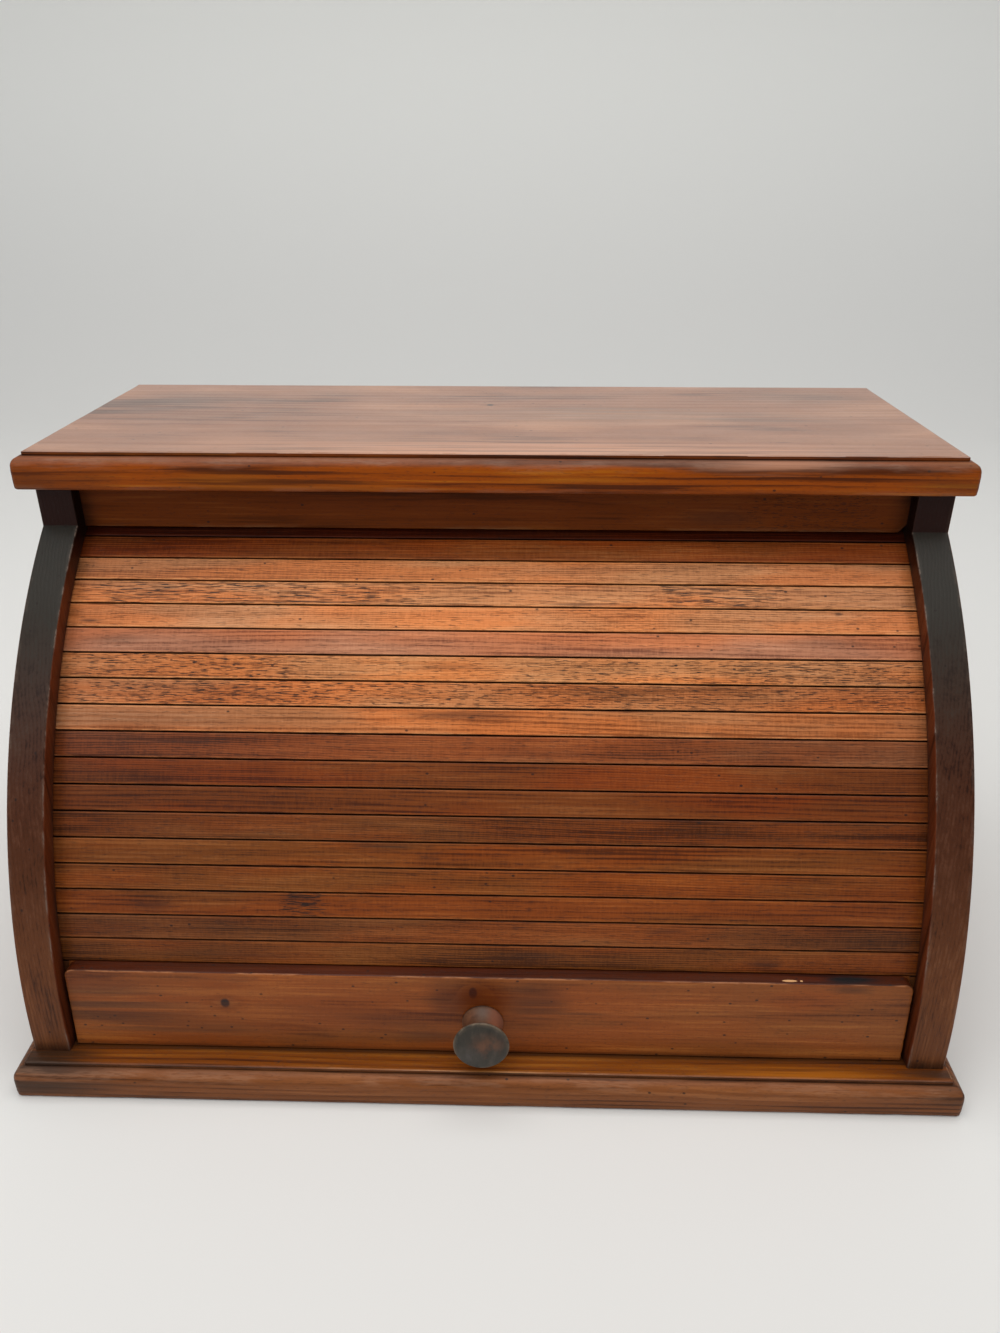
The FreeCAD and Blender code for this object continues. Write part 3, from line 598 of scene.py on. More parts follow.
def cheek_stations():
    """(outline point, inward direction, rebate shoulder point) up a cheek's front."""
    post_angle = math.degrees(math.asin((POST_FOOT_Z - ARC_Z) / CHEEK_RADIUS))
    shoulder_end = math.degrees(math.asin((UNDER_TOP - ARC_Z) / TRACK_RADIUS))
    stations = []
    steps = 84
    for k in range(steps + 1):
        angle = post_angle * k / steps
        cos, sin = cos_sin(angle)
        stations.append((arc_point(CHEEK_RADIUS, angle), (cos, -sin), arc_point(TRACK_RADIUS, angle)))
    post_steps = 6
    for k in range(post_steps + 1):
        z = POST_FOOT_Z + 0.15 + (UNDER_TOP - POST_FOOT_Z - 0.15) * k / post_steps
        angle = post_angle + (shoulder_end - post_angle) * (k + 1) / (post_steps + 1)
        stations.append(((POST_FRONT, z), (1, 0), arc_point(TRACK_RADIUS, angle)))
    return stations


def cheek(name, side, material):
    """A quadrant end board with a broad, rubbed front edge and a rebate for the slat ends."""
    arris = 0.9
    outer, inner, floor = side * CHEEK_OUTER, side * CHEEK_INNER, side * REBATE_FLOOR
    skin = Skin()
    rows = []
    for number, (front, inward, shoulder) in enumerate(cheek_stations()):
        on_post = front[0] == POST_FRONT and inward[1] == 0

        def at(x, depth, wear=0, grime=0):
            return skin.add(x, front[0] + inward[0] * depth, front[1] + inward[1] * depth, wear, grime)

        # Painted shadow: the front darkens over its lowest 7 mm above the base.
        darkening = min(1, 1.3 * max(0, 1 - (front[1] - BOARD) / 7))
        row = [at(outer, 6), at(outer, arris + 0.8)]
        for turn in (0, 30, 60, 90):
            cos, sin = cos_sin(turn)
            row.append(at(outer - side * arris * (1 - cos), arris * (1 - sin), 0.2, darkening))
        for share in (0.08, 0.25, 0.5, 0.75, 0.92):
            x = (outer - side * arris) * (1 - share) + (inner + side * arris) * share
            dip = 0.07 + unevenness(side * 5 + share, number * 0.2, size=0.07)
            row.append(at(x, dip, 0, darkening))
        for turn, wear in ((90, 0.1), (60, 0.7), (30, 0.3), (0, 0)):
            cos, sin = cos_sin(turn)
            nick = max(0, unevenness(side * 9, number * 0.37, turn * 0.01, size=0.5) - 0.1)
            depth = arris * (1 - sin) + nick * sin
            x = inner + side * (arris * (1 - cos) + nick * cos)
            row.append(at(x, depth, 0 if on_post else wear, darkening))
        row += [at(inner, arris + 0.8, 0, darkening), at(inner, 5, 0, max(darkening, 0.2))]
        away = (ARC_Y - shoulder[0], ARC_Z - shoulder[1])
        length = math.hypot(*away)
        away = (away[0] / length, away[1] / length)
        bevel = 0.4

        def by_shoulder(x, depth, grime):
            y, z = shoulder[0] - away[0] * depth, shoulder[1] - away[1] * depth
            return skin.add(x, y, min(max(z, BOARD), UNDER_TOP), 0, grime)

        # Painted shade on the inner face by the rebate's shoulder, beside the slat ends.
        row += [by_shoulder(inner, 1.2, 0.8), by_shoulder(inner, bevel, 0.9)]
        row += [by_shoulder(inner + side * bevel, 0, 0.9), by_shoulder(floor, 0, 0.8)]
        rows.append(row)
    skin.sheet(rows)
    corners = [(CHEEK_REAR, BOARD), (CHEEK_REAR, UNDER_TOP)]
    outer_low, outer_high = [skin.add(outer, *corner) for corner in corners]
    floor_low, floor_high = [skin.add(floor, *corner) for corner in corners]
    skin.face([row[0] for row in rows] + [outer_high, outer_low])
    skin.face([row[-1] for row in rows] + [floor_high, floor_low])
    skin.face(rows[0] + [floor_low, outer_low])
    skin.face(rows[-1] + [floor_high, outer_high])
    skin.face((outer_low, outer_high, floor_high, floor_low))
    skin.make(name, material, "cabinet")


def cheek_tint(s, colour):
    """Darkens a cheek's front edge, with a painted grey-green reflection where it leans back and painted
    shadow and shade.
    """
    normal = s.parts(s.normal())
    place = s.parts(s.place())
    # The tone that the wood's own three colours follow.
    tone = colour.node.inputs[0].links[0].from_socket
    edge = s.ramp(tone, (0.1, 0.45, 0.85), LOW_EDGE)
    wander = s.times(s.less(tone, 0.5), 0.06)
    height = s.plus(place[2], wander)
    edge = s.mix(s.smooth(height, 0.05, 0.15), edge, s.glaze(edge, (0.52, 0.5, 0.64)))
    # Painted reflection: where the edge leans back, the pale room shows grey-green in its dark gloss.
    edge = s.mix(s.smooth(height, 0.145, 0.235, 0, 0.92), edge, REFLECTED_GREY_GREEN)
    # Painted shadow: the upright above the curved edge, under the top board, is nearly black.
    edge = s.mix(s.smooth(place[2], 0.2608, 0.2615), edge, POST_SHADOW_BLACK)
    # Painted shade: the face beside the slats is darkened and dulled, and nearly black under the top board.
    inward = s.times(place[0], normal[0])
    inside = s.smooth(inward, -0.15, -0.1, 1, 0)
    colour = s.mix(inside, colour, s.glaze(colour, (0.56, 0.42, 0.48)))
    shade = s.times(inside, s.smooth(place[2], 0.225, 0.262))
    colour = s.mix(s.times(shade, 0.97), colour, (0.004, 0.0015, 0.001))
    sideways = s.smooth(s.math("ABSOLUTE", normal[0]), 0.45, 0.85)
    return s.mix(sideways, edge, colour)


CHEEK_LOOKS = {
    "ring_gap": 1.9, "ring_strength": 0.14, "streaks": 1, "flecks": 0.1,
    "upright": True, "end_tone": 0.8, "gloss": 0.4, "shine": 0.12, "worn": (0.22, 0.16, 0.125),
}
for name, side, seed, pith in (
    ("left_cheek", -1, (0.2, 0.9, 0.3), (10, 300)),
    ("right_cheek", 1, (1.4, 0.3, 2.2), (60, -330)),
):
    material = wood("wood_" + name, SIDE_BROWN, seed, pith=pith, tint=cheek_tint, **CHEEK_LOOKS)
    cheek(name, side, material)

# ---- fascia

FASCIA_FRONT, FASCIA_BACK = -6, 2
FASCIA_FOOT = 257.59


def fascia(name, material):
    """The strip under the top board, its lower edge sanded and one lower corner rounded."""
    skin = Skin()
    rows = []
    hollow_start = ARC_Y - math.sqrt(TRACK_RADIUS**2 - (FASCIA_FOOT - ARC_Z) ** 2)
    steps = 120
    end_round = 4
    for k in range(steps + 1):
        share = k / steps
        x = -CHEEK_INNER + 2 * CHEEK_INNER * share
        wave = 0.15 + unevenness(x * 0.02, 4, size=0.15)
        past = max(0, x - (CHEEK_INNER - end_round))
        lift = wave + end_round - math.sqrt(max(0, end_round**2 - past**2))
        foot = FASCIA_FOOT + lift
        profile = [(FASCIA_FRONT, UNDER_TOP, 0, 0), (FASCIA_FRONT, 272, 0, 0)]
        profile += [(FASCIA_FRONT, foot + 2.5, 0, 0), (FASCIA_FRONT, foot + 1, 0.35, 0)]
        rounded = round_over((FASCIA_FRONT + 0.7, foot + 0.7), 0.7, 180, 270, 4)
        profile += [(y, z, 0.6, 0) for y, z in rounded]
        profile.append((hollow_start, foot, 0, 0.3))
        for y in (-1.2, 0.4, FASCIA_BACK):
            z = ARC_Z + math.sqrt(TRACK_RADIUS**2 - (ARC_Y - y) ** 2)
            profile.append((y, max(z, foot), 0, 0.4))
        profile += [(FASCIA_BACK, 272, 0, 0), (FASCIA_BACK, UNDER_TOP, 0, 0)]
        # Painted shadow: the ends darken towards the cheeks' uprights.
        darkening = max(0, 1 - (CHEEK_INNER - abs(x)) / 9)
        rows.append([skin.add(x, y, z, w, max(g, 0.9 * darkening)) for y, z, w, g in profile])
    skin.tube(rows)
    skin.make(name, material, "cabinet")


FASCIA_WOOD = wood(
    "wood_top_rail", FASCIA_BROWN, (0.6, 2.1, 0.4), pith=(500, 262), ring_gap=4.5,
    ring_strength=0.2, blotches=1.1, flecks=0.05, fleck_zones=((165, -6, 268, 50, 20, 0.3),),
    pins=0.2, marks=((118, -6, 265, 30, 7, 0.3),), gloss=0.46, coat=0, shine=0.08,
    worn=(0.2, 0.085, 0.035),
)
fascia("top_rail", FASCIA_WOOD)

# ---- slats


def slat_frame(number):
    """Middle of a slat's face, its outward direction and the direction up the curtain."""
    degrees = RAIL_ANGLE + SLAT_ANGLE * (number - 0.5)
    cos, sin = cos_sin(degrees)
    return arc_point(CURTAIN_RADIUS, degrees), (-cos, sin), (sin, cos)


def slat_profile():
    """(depth, along, wear) round a slat's section, its face edges softly rounded."""
    half, back, soft, back_soft = SLAT_FACE / 2, SLAT_BACK / 2, 0.55, 0.3
    upper = [(0, along, 0) for along in (0, half * 0.5, half - 1.1)]
    for turn, wear in ((90, 0.5), (60, 0.8), (30, 0.1), (0, 0)):
        cos, sin = cos_sin(turn)
        upper.append((soft - soft * sin, half - soft + soft * cos, wear))
    upper += [(2, half - 0.2, 0), (SLAT_THICKNESS - back_soft, back, 0)]
    upper += [(SLAT_THICKNESS, back - back_soft, 0)]
    lower = [(depth, -along, wear) for depth, along, wear in reversed(upper[1:])]
    return upper + lower


def slat(number, material):
    """A slat, hollowed and wavering a little, its edges soft and its ends drawn in."""
    name = f"slat_{number:02d}"
    middle, outward, upward = slat_frame(number)
    skin = Skin()
    rows = []
    steps = 96
    sink = 0.1 + unevenness(number * 3.7, 0.5, size=0.1)
    end_soft = 0.5
    places = [-HALF_SLAT, -HALF_SLAT + end_soft]
    places += [(-HALF_SLAT + 2) + (2 * HALF_SLAT - 4) * k / steps for k in range(steps + 1)]
    places += [HALF_SLAT - end_soft, HALF_SLAT]
    for x in places:
        shrink = 0.25 if abs(x) > HALF_SLAT - end_soft / 2 else 0
        row = []
        for depth, along, wear in slat_profile():
            edge = 1 if along > 0 else -1
            waver = 0.06 + unevenness(x * 0.02, number * 2.3, edge * 3, size=0.06)
            waver += max(0, unevenness(x * 0.09, number * 5.1, edge * 7, size=0.5) - 0.22)
            inward = sink + unevenness(x * 0.012, number * 1.7, along * 0.1, size=0.08)
            d = min(depth + max(0, inward) * (1 - depth / SLAT_THICKNESS), SLAT_THICKNESS)
            d = min(max(d, shrink), SLAT_THICKNESS - shrink)
            a = along - edge * (min(waver, abs(along)) + shrink) if abs(along) > 1 else along
            y = middle[0] - outward[0] * d + upward[0] * a
            z = middle[1] - outward[1] * d + upward[1] * a
            # Grime with painted shade at the ends, towards and inside the cheeks' rebates.
            darkening = max(0, 1 - (CHEEK_INNER - abs(x)) / 3) if abs(x) < CHEEK_INNER else 0.8
            seam = 0.8 if 0.2 < depth < SLAT_THICKNESS - 0.5 else 0
            row.append(skin.add(x, y, z, wear * (1 if along < 0 else 0.5), max(0.35 * darkening, seam)))
        rows.append(row)
    skin.tube(rows)
    skin.make(name, material, name + "_link")


def on_slat(number, x, up=0):
    """A place on a slat's face, x along it and up across it."""
    middle, _, upward = slat_frame(number)
    return (x, middle[0] + upward[0] * up, middle[1] + upward[1] * up)


FINE, BROAD = 1.2, 2.2
FLECK_ACROSS = 30
# Tone, ring gap, flecks all over, zones of flecks (x, along, strength) and dark marks
# (x, up, along, across, strength) of the slats.
SLAT_LOOKS = {
    1: (BROWN, FINE, 0.2, (), ((-120, 0, 60, 8, 0.35), (140, -1, 12, 5, 0.6), (25, 0, 25, 5, 0.4))),
    2: (
        DARK_BROWN, FINE, 0.25, (),
        ((-134, 2, 20, 5, 0.8), (-190, 0, 30, 7, 0.5), (15, 3, 3, 1.5, 0.9), (90, 2, 14, 3, 0.5)),
    ),
    3: (
        BROWN, BROAD, 0.2, ((-91, 14, 1.3),),
        ((-91, 3, 16, 5, 0.7), (-168, 0, 18, 7, 0.5), (-51, 0, 3, 0.9, 1), (22, -1, 2, 2.5, 0.9)),
    ),
    4: (BROWN, FINE, 0.2, (), ()),
    5: (BROWN, BROAD, 0.18, (), ((-50, 4, 24, 4, 0.8), (-120, 0, 40, 3, 0.4), (-28, 0, 8, 6, 0.5))),
    6: (DARK_BROWN, FINE, 0.22, (), ()),
    7: (RED_BROWN, BROAD, 0.15, (), ()),
    8: (RED_BROWN, FINE, 0.15, (), ()),
    9: (MID_BROWN, FINE, 0.25, (), ((40, -2, 40, 2, 0.6), (-150, 2, 30, 2, 0.6))),
    10: (ORANGE, BROAD, 0.2, (), ((-150, 0, 110, 9, 0.25), (-12, 3, 42, 5, 0.55), (-8, 2, 3, 1, 0.7))),
    11: (ORANGE, FINE, 0.55, ((-130, 80, 1.1), (45, 90, 0.5)), ((176, 1, 9, 1.4, 0.7),)),
    12: (
        PALE_ORANGE, FINE, 0.35, ((-150, 80, 0.9), (60, 60, 0.5), (150, 85, 0.7)),
        ((-73, -4.5, 14, 1.6, 0.8), (-20, 1, 25, 3, 0.35), (135, 4, 25, 2, 0.5)),
    ),
    13: (PINK_BROWN, BROAD, 0.2, (), ((170, 2, 40, 4, 0.3), (-190, 0, 25, 4, 0.3))),
    14: (LIGHT_ORANGE, FINE, 0.25, (), ((-204, -3, 8, 1.5, 0.7), (176, 4.5, 3, 1.5, 0.8))),
    15: (
        LIT_ORANGE, BROAD, 0.35, ((-120, 115, 1), (118, 45, 1.1), (180, 40, 0.3)),
        ((50, -5, 30, 1.2, 0.8), (-100, -5.4, 70, 1.6, 0.75), (-170, 0, 30, 4, 0.25)),
    ),
    16: (PALE_ORANGE, FINE, 0.25, (), ((134, 4, 5, 2.6, 1), (-20, 0, 90, 8, 0.15), (-130, 0, 4, 0.8, 0.7))),
    17: (SHADOW_BROWN, FINE, 0.15, (), ()),
    18: (UNLIT_BROWN, FINE, 0.06, (), ()),
}
HIDDEN_LOOK = (BROWN, FINE, 0.1, (), ())
# How far below each slat its growth rings have their centre, so that they cross its face.
PITH_REACH = 500
LONG_DASH, SHORT_DASH, DASHED_SLAT, SHADED_SLAT, LOWEST_ORANGE = 110, 170, 15, 17, 10


def slat_end_shade(s, colour):
    """Painted shade: the slats are a little darker towards the cheeks."""
    along = s.parts(s.place())[0]
    factor = s.smooth(s.math("ABSOLUTE", s.less(along, 0.02)), 0.05, 0.225)
    return s.mix(factor, colour, s.glaze(colour, (0.8, 0.79, 0.84)))


for number in range(1, SLAT_COUNT + 1):
    tones, ring_gap, flecks, zones, marks = SLAT_LOOKS.get(number, HIDDEN_LOOK)
    material = wood(
        f"wood_slat_{number:02d}", tones, (number * 1.37, number * 0.61, number * 0.23),
        pith=on_slat(number, 0, -PITH_REACH)[1:], ring_gap=ring_gap, ring_strength=0.24,
        fibres=1.1, ticks=0.35, warmth=1, streaks=0.8,
        blotches=1.3 if number < LOWEST_ORANGE else 1, flecks=flecks,
        fleck_zones=[
            (*on_slat(number, x), along, FLECK_ACROSS, strength) for x, along, strength in zones
        ],
        marks=[(*on_slat(number, x, up), *rest) for x, up, *rest in marks], gloss=0.4,
        worn=tuple(min(1, 1.15 * part) for part in tones[2]),
        dash=LONG_DASH if number == DASHED_SLAT else SHORT_DASH,
        shine=0.1 if number >= SHADED_SLAT else 0.14, unrubbed=0.36, tint=slat_end_shade,
    )
    slat(number, material)

# ---- lead rail

RAIL_CORNER, REAR_CORNER, TOP_SLOPE = 4.5, 0.8, 1.3


def rail_line(radius):
    """Foot and head, as (y, z), of the lead rail's section on its face or its back."""
    return (ARC_Y - radius, RAIL_FOOT), arc_point(radius, RAIL_ANGLE)


RAIL_FACE = rail_line(RAIL_FACE_RADIUS)
RAIL_REAR = rail_line(CURTAIN_RADIUS - SLAT_THICKNESS)
RAIL_TALL = math.dist(*RAIL_FACE)
RAIL_THICK = RAIL_FACE_RADIUS - CURTAIN_RADIUS + SLAT_THICKNESS


def rail_point(up, depth):
    """Y and Z of a point of the lead rail, up its face and in from it."""
    share, inward = up / RAIL_TALL, depth / RAIL_THICK
    front = [a + (b - a) * share for a, b in zip(*RAIL_FACE)]
    rear = [a + (b - a) * share for a, b in zip(*RAIL_REAR)]
    return [a + (b - a) * inward for a, b in zip(front, rear)]


def rail_outline(inset, corner_radius):
    """(x, up) round the lead rail's face, drawn in by an inset."""
    right, top = HALF_RAIL - inset, RAIL_TALL - inset
    radius = max(0.1, corner_radius - inset)
    points = [(-right + 2 * right * k / 110, inset) for k in range(111)]
    points += [(right, inset + (top - radius - inset) * k / 30) for k in range(1, 30)]
    corner = round_over((right - radius, top - radius), radius, 0, 90, 8)
    points += corner
    across = right - radius
    points += [(across - 2 * across * k / 106, top) for k in range(1, 106)]
    points += [(-x, up) for x, up in reversed(corner)]
    points += [(-right, top - radius - (top - radius - inset) * k / 30) for k in range(1, 30)]
    return points


def lead_rail(name, material):
    """The flat rail under the slats, with rubbed edges, a nicked right end and two tongues."""
    skin = Skin()
    soft = 0.8
    rings = [(2.8, 0, 0), (1.5, 0, 0)]
    for turn, wear in ((0, 0.1), (25, 0.6), (50, 1), (90, 0)):
        cos, sin = cos_sin(turn)
        rings.append((soft * (1 - sin), soft * (1 - cos), wear))
    step = RAIL_FACE_RADIUS - CURTAIN_RADIUS
    rings += [(0, 1.4, 0), (0, step, 0), (0, step + 0.1, 0), (0, RAIL_THICK - 1.2, 0)]
    rings += [(0.4, RAIL_THICK - 0.2, 0.2), (1, RAIL_THICK, 0), (3, RAIL_THICK, 0)]
    rows = []
    for inset, depth, wear in rings:
        # Behind the slats' faces the corners are square, and close the gap under the last slat.
        corner_radius = RAIL_CORNER if depth <= step else REAR_CORNER
        row = []
        for x, up in rail_outline(inset, corner_radius):
            near_end = max(0, 1 - (HALF_RAIL - abs(x)) / 1.5)
            nick = max(0, unevenness(up * 0.35, 2, depth * 0.1, size=1.1) - 0.1)
            pull = near_end * (nick if x > 0 else 0.15) * (1 if depth < 4 else 0.3)
            top_side = up > RAIL_TALL - 2
            sag = 0.1 + unevenness(x * 0.02, depth * 0.2, size=0.1) if top_side else 0
            # The top slopes down to its front arris.
            near_top = max(0, 1 - (RAIL_TALL - up) / 8)
            sag += TOP_SLOPE * near_top * max(0, 1 - depth / step)
            y, z = rail_point(up - sag, depth)
            worn = wear * (1 if top_side else 0.35)
            # Painted shadow: the rail darkens over its lowest 3 mm above the base.
            low = 0.7 * max(0, 1 - up / 3)
            row.append(skin.add(x - math.copysign(pull, x), y, z, worn, low))
        rows.append(row)
    skin.tube(rows)
    tongue_top = RAIL_TALL - 0.4
    for side in (-1, 1):
        ends = []
        for x in (side * (HALF_RAIL - 0.8), side * (HALF_SLAT - 0.3), side * HALF_SLAT):
            trim = 0.3 if abs(x) == HALF_SLAT else 0
            front, rear = step + 0.05 + trim, RAIL_THICK - 0.05 - trim
            loop = [(trim, front), (trim, rear), (tongue_top - trim, rear), (tongue_top - trim, front)]
            ends.append([skin.add(x, *rail_point(up, depth), 0, 0.7) for up, depth in loop])
        skin.tube(ends)
    skin.make(name, material, "curtain_rail")


def top_shade(s, colour):
    """Painted shade: the rail's upper surface, darker than its face."""
    up = s.parts(s.normal())[2]
    return s.mix(s.smooth(up, 0.5, 0.9), colour, s.glaze(colour, (0.26, 0.18, 0.22)))


RAIL_WOOD = wood(
    "wood_lead_rail", RAIL_BROWN, (2.3, 0.7, 1.1), pith=(100, 10), ring_gap=3.6,
    ring_strength=0.16, streaks=0.6, fibres=0.85, blotches=1, flecks=0.05,
    knots=((-132.2, -131.8, 47.3, 3.4, 4), (-5.8, -131.1, 56.6, 3, 4.8)),
    marks=(
        (-123, -130.6, 62.5, 13, 2.4, 0.65),
        (-126, -132, 41.5, 2, 0.9, 0.9),
        (165, -130.2, 67.2, 20, 3, 0.35),
        (-45, -132.5, 39, 40, 9, 0.3),
        (26, -132, 49, 24, 20, 0.7, (0.07, 0.018, 0.005)),
        (-195, -132.5, 44, 60, 24, 0.6),
        (-120, -133, 40, 110, 30, 0.35, (0.12, 0.03, 0.008)),
        (-150, -133, 30, 70, 6, 0.4),
        (183, -126.8, 66.1, 20, 4.5, 1, (0.01, 0.009, 0.01)),
        (180, -126.8, 66.1, 12, 4.5, 1, (0.01, 0.009, 0.01)),
        (182, -131.2, 63, 16, 4, 0.5),
        (50, -132, 44, 20, 2.5, 0.5),
        (-18, -131.5, 51, 16, 18, 0.6, (0.07, 0.016, 0.004)),
        (-30, -135, 29, 30, 7, 0.5),
        (0, -132, 52, 20, 16, 0.7, (0.105, 0.016, 0.002)),
    ),
    chips=((151.8, -128.1, 65.8, 4.2, 0.8), (157.6, -128.1, 65.8, 0.8, 0.6)),
    pin_scale=1.5, ticks=0.15, warmth=0.7, unrubbed=0.42, tint=top_shade, worn=(0.4, 0.155, 0.06),
)
lead_rail("lead_rail", RAIL_WOOD)

# ---- knob

KNOB_X, KNOB_UP = -1, 20
KNOB_PAINT = ((0.014, 0.014, 0.01), (0.034, 0.028, 0.02), (0.066, 0.05, 0.036))
KNOB_WOOD = ((0.07, 0.028, 0.014), (0.17, 0.066, 0.03))
KNOB_SECTION = (
    # distance from the rail, radius, wear
    (0, 9.9, 0), (0, 10.2, 0), (0.4, 10.5, 0.1), (1.4, 10.45, 0.2), (2.4, 10.1, 0.1),
    (3.6, 9.55, 0), (5, 9, 0), (6.6, 8.55, 0), (8.2, 8.35, 0), (9.6, 8.4, 0),
    (10.8, 8.85, 0), (12, 9.7, 0), (13.4, 10.9, 0), (14.8, 12.25, 0.1), (15.7, 13.15, 0.4),
    (16.3, 13.75, 0.9), (16.8, 13.95, 1), (17.25, 13.7, 0.9), (17.55, 13.1, 0.3), (17.85, 11.8, 0),
    (18.2, 9.6, 0), (18.55, 6.8, 0), (18.8, 3.8, 0), (18.9, 1.4, 0),
)


def knob(name, material):
    """A turned knob on the lead rail, square to its face."""
    foot_y, foot_z = rail_point(KNOB_UP, 0)
    lean_cos, lean_sin = cos_sin(RAIL_ANGLE / 2)
    skin = Skin()
    rows = []
    steps = 72
    for distance, radius, wear in KNOB_SECTION:
        row = []
        for k in range(steps):
            cos, sin = cos_sin(360 * k / steps)
            rim = radius * (1 - 0.004 * abs(unevenness(cos * 2, sin * 2, distance)))
            rise = rim * sin
            y = foot_y - lean_cos * distance + lean_sin * rise
            z = foot_z + lean_sin * distance + lean_cos * rise
            row.append(skin.add(KNOB_X + rim * cos, y, z, wear, 0.8 if distance < 0.5 else 0))
        rows.append(row)
    skin.tube(rows)
    skin.make(name, material, "curtain_rail")


def knob_paint():
    """Dark grey-green paint, rubbed back to brown wood in the middle and round the neck, with painted light
    on the neck.
    """
    s = Shader("knob_paint")
    place = s.place()
    x, y, _ = s.parts(place)
    brushed = s.noise(place, (260, 110, 110), 3, 0.6)
    cloudy = s.noise(place, (130, 130, 90), 3, 0.6)
    paint = s.ramp(brushed, (0.2, 0.5, 0.8), KNOB_PAINT)
    bare = s.ramp(cloudy, (0.3, 0.7), KNOB_WOOD)
    # The neck lies behind the rim, nearer the rail than this. Painted light: its right side is lit orange,
    # and a painted highlight greys its middle.
    neck = s.smooth(y, -0.1485, -0.146)
    sideways = s.math("ABSOLUTE", s.plus(x, -KNOB_X * MM))
    neck_lit_side = s.times(neck, s.smooth(x, -0.002, 0.007))
    bare = s.mix(s.times(neck_lit_side, 0.6), bare, (0.33, 0.115, 0.065))
    neck_highlight = s.times(neck, s.smooth(sideways, 0, 0.0065, 0.65, 0))
    neck_highlight = s.times(neck_highlight, s.smooth(cloudy, 0.35, 0.6, 0.35, 1))
    bare = s.mix(neck_highlight, bare, (0.085, 0.058, 0.042))
    pale = s.spot(place, -6, -151, 35.5, 9, 8, 0.1)
    pale = s.times(pale, s.smooth(cloudy, 0.35, 0.6, 0.15, 0.65))
    paint = s.mix(pale, paint, (0.105, 0.088, 0.08))
    middle = s.spot(place, 2, -151, 41, 12, 10.5, 0.1)
    rubbed = s.times(middle, s.smooth(cloudy, 0.34, 0.56, 0.05, 0.75))
    rubbed = s.math("MAXIMUM", s.times(neck, 0.92), rubbed)
    colour = s.mix(rubbed, paint, bare)
    rim = s.times(s.stored("wear"), s.smooth(cloudy, 0.4, 0.62))
    colour = s.mix(s.times(rim, 0.75), colour, (0.2, 0.14, 0.09))
    # Darker at the foot against the rail: grime with painted shade.
    colour = s.mix(s.stored("grime"), colour, (0.012, 0.007, 0.005))
    roughness = s.plus(s.times(cloudy, 0.25), 0.34)
    height = s.plus(brushed, cloudy)
    return s.finish(colour, roughness, height, 0.00012, Specular_IOR_Level=0.3)


knob("knob", knob_paint())

# ---- pieces that keep the solids


def dress(name, material, bevel=0):
    """Gives a CAD node its material, and softens its edges."""
    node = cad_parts[name]
    node.data.materials.clear()
    node.data.materials.append(material)
    if bevel:
        soft = node.modifiers.new("soft_edges", "BEVEL")
        soft.width = bevel * MM
        soft.segments = 2
        soft.limit_method = "ANGLE"
        soft.angle_limit = math.radians(40)


CLOTH_TONES = ((0.26, 0.19, 0.115), (0.46, 0.37, 0.25), (0.6, 0.51, 0.37))
# Two threads of the canvas side by side, in metres.
THREAD_PAIR = 0.0011


def canvas():
    """Plain cotton canvas, stained a little by the wood."""
    s = Shader("canvas_cloth")
    place = s.place()
    x, y, z = s.parts(place)
    pace = 2 * math.pi / THREAD_PAIR
    warp = s.math("SINE", s.times(x, pace))
    weft = s.math("SINE", s.times(s.plus(z, y), pace))
    weave = s.times(s.times(warp, weft), 0.5)
    slub = s.noise(place, (300, 60, 60), 3, 0.6)
    stain = s.noise(place, (14, 30, 30), 3, 0.6)
    tone = s.plus(s.times(weave, 0.22), s.times(slub, 0.9))
    colour = s.ramp(tone, (0.1, 0.5, 0.9), CLOTH_TONES)
    colour = s.mix(s.smooth(stain, 0.45, 0.75, 0, 0.6), colour, (0.22, 0.13, 0.07))
    height = s.plus(weave, slub)
    return s.finish(colour, 0.92, height, 0.00018, Sheen_Weight=0.2)


def steel(name, bright):
    """Dull plain steel with fine scratches and a little rust."""
    s = Shader(name)
    place = s.place()
    scratch = s.noise(place, (400, 2600, 2600), 3, 0.7)
    rust = s.noise(place, (500, 500, 500), 3, 0.6)
    tones = (bright * 0.6,) * 3, (bright, bright * 0.97, bright * 0.92)
    colour = s.ramp(scratch, (0.2, 0.8), tones)
    colour = s.mix(s.smooth(rust, 0.56, 0.72, 0, 0.8), colour, (0.13, 0.05, 0.02))
    roughness = s.plus(s.times(scratch, 0.3), 0.3)
    return s.finish(colour, roughness, scratch, 0.00005, Metallic=0.9)


BACK_WOOD = wood(
    "wood_back_panel", INSIDE_BROWN, (0.8, 1.9, 0.2), pith=(400, 120), ring_gap=5,
    ring_strength=0.2, blotches=1, flecks=0.06,
    knots=((92, 148, 205, 6, 5), (-131, 148, 93, 9, 7)), gloss=0.52, coat=0.1,
)
CLOTH = canvas()
SCREW_STEEL, NAIL_STEEL = steel("screw_steel", 0.46), steel("nail_steel", 0.3)
dress("back_panel", BACK_WOOD, 0.6)
for number in range(1, SLAT_COUNT + 1):
    dress(f"canvas_{number:02d}", CLOTH)
dress("canvas_lead", CLOTH)
dress("base_screws", SCREW_STEEL, 0.25)
dress("knob_screw", SCREW_STEEL, 0.25)
dress("back_nails", NAIL_STEEL, 0.15)
DOWEL_WOOD = wood(
    "wood_dowels", INSIDE_BROWN, (0.1, 0.1, 0.4), upright=True, coat=0, gloss=0.6,
)
dress("top_dowels", DOWEL_WOOD, 0.5)

# ---- floor, light and camera


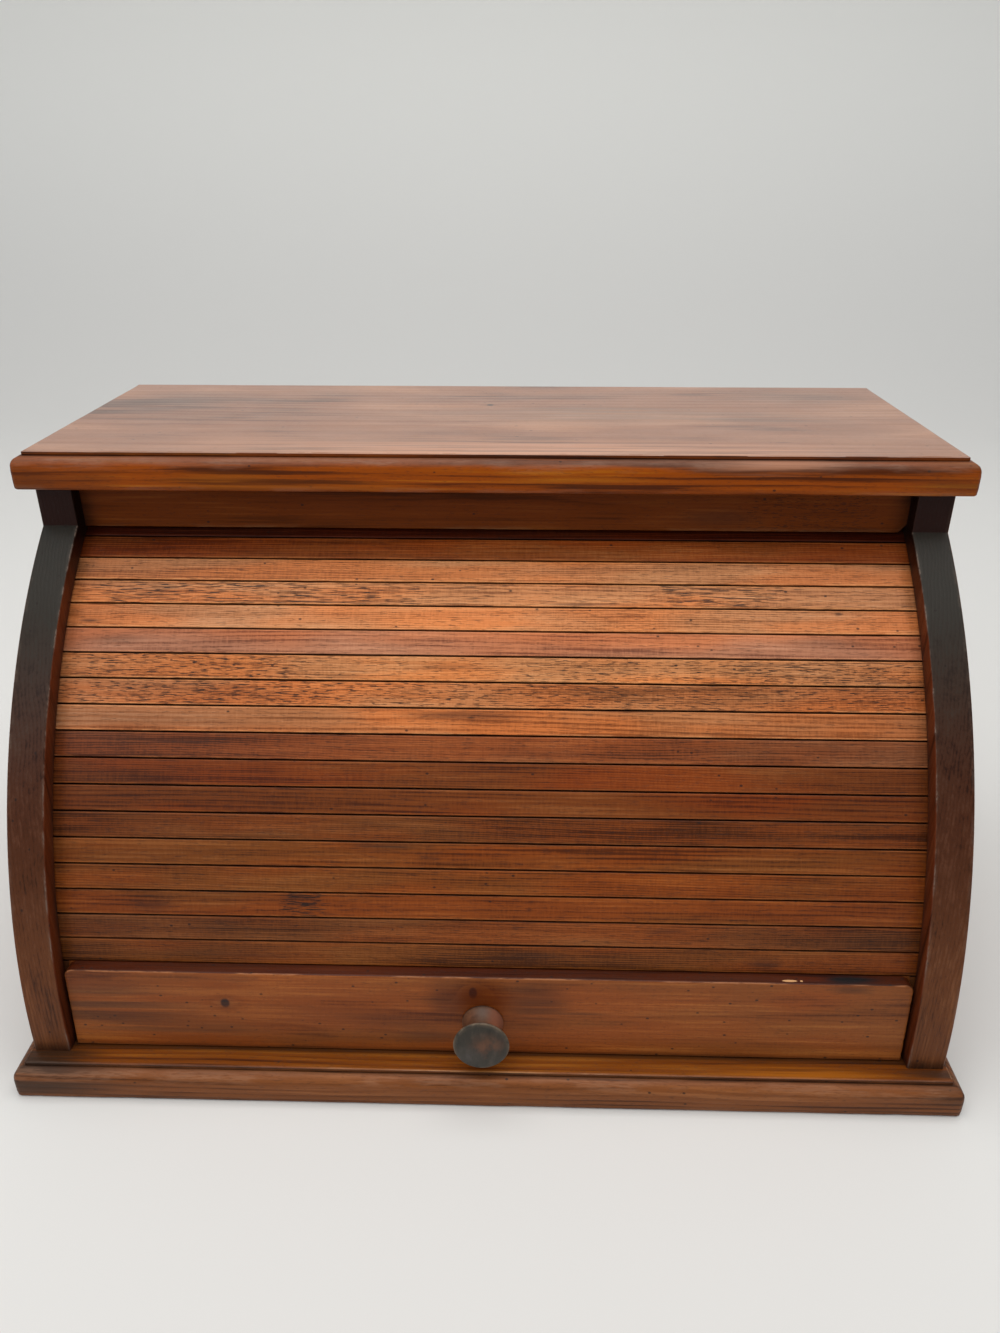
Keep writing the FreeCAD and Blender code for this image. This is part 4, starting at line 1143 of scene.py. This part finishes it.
def sweep_backdrop():
    """A pale floor that curves up behind the object into a wall."""
    depth_front, depth_back, wide, tall, bend = -3, 2.2, 4, 3.5, 0.9
    line = [(depth_front, 0), (depth_back - bend, 0)]
    for k in range(1, 17):
        cos, sin = cos_sin(90 * k / 16)
        line.append((depth_back - bend + bend * sin, bend - bend * cos))
    line.append((depth_back, tall))
    points = [(x, y, z - 0.0002) for x in (-wide, wide) for y, z in line]
    count = len(line)
    faces = [(k, k + 1, count + k + 1, count + k) for k in range(count - 1)]
    mesh = bpy.data.meshes.new("backdrop")
    mesh.from_pydata(points, [], faces)
    mesh.shade_smooth()
    s = Shader("backdrop_paper")
    height = s.parts(s.place())[2]
    colour = s.mix(s.smooth(height, 0, 0.7), (0.745, 0.738, 0.715), (0.94, 0.94, 0.905))
    mesh.materials.append(s.finish(colour, 0.9, None, 0))
    backdrop = add_object("backdrop", mesh)


def area_light(name, place, target, size, power, colour):
    lamp = bpy.data.lights.new(name, "AREA")
    lamp.shape, lamp.size, lamp.size_y = "RECTANGLE", *size
    lamp.energy, lamp.color = power, colour
    holder = add_object(name, lamp)
    holder.location = place
    holder.rotation_euler = (Vector(target) - Vector(place)).to_track_quat("-Z", "Y").to_euler()


def studio_sky():
    """A pale sky, brighter overhead."""
    s = Shader("studio", bpy.data.worlds)
    upward = s.parts(s.node("TexCoord").outputs["Generated"])[2]
    levels = {"Value": upward, "From Min": 0, "From Max": 0.9, "To Min": 0.2, "To Max": 0.65}
    brightness = s.node("MapRange", levels).outputs[0]
    sky = s.node("Background", {0: (0.95, 0.97, 1, 1), 1: brightness})
    s.node("OutputWorld", {0: sky.outputs[0]})
    bpy.context.scene.world = s.owner


# The camera, fitted to the photographed object's edges.
CAMERA_PLACE_MM = (18.04, -503.93, 428.45)
CAMERA_YAW, CAMERA_PITCH, CAMERA_ROLL = 0.02717, -0.46667, 0.00068
CAMERA_FOCAL_PX, PHOTO_HEIGHT_PX, SENSOR_MM = 996.49, 1333, 36


def place_camera():
    eye = bpy.data.cameras.new("camera")
    eye.sensor_width = SENSOR_MM
    eye.lens = CAMERA_FOCAL_PX / PHOTO_HEIGHT_PX * SENSOR_MM
    eye.clip_start, eye.clip_end = 0.01, 30
    camera = add_object("camera", eye)
    # The camera looks along its own -Z; the fit turns +Y into the line of sight.
    turn = (
        Matrix.Rotation(CAMERA_YAW, 4, "Z")
        @ Matrix.Rotation(CAMERA_PITCH, 4, "X")
        @ Matrix.Rotation(CAMERA_ROLL, 4, "Y")
        @ Matrix.Rotation(math.radians(90), 4, "X")
    )
    camera.matrix_world = Matrix.Translation([c * MM for c in CAMERA_PLACE_MM]) @ turn
    bpy.context.scene.camera = camera


sweep_backdrop()
studio_sky()
area_light("overhead", (0, -0.1, 1.9), (0, 0, 0.1), (2.2, 1.6), 25, (1, 0.98, 0.95))
area_light("window", (-1.4, -1.6, 1.5), (0, 0, 0.15), (1.4, 1.2), 8, (0.99, 0.99, 1))
place_camera()
bpy.context.scene.view_settings.view_transform = "Standard"

bpy.context.view_layer.update()
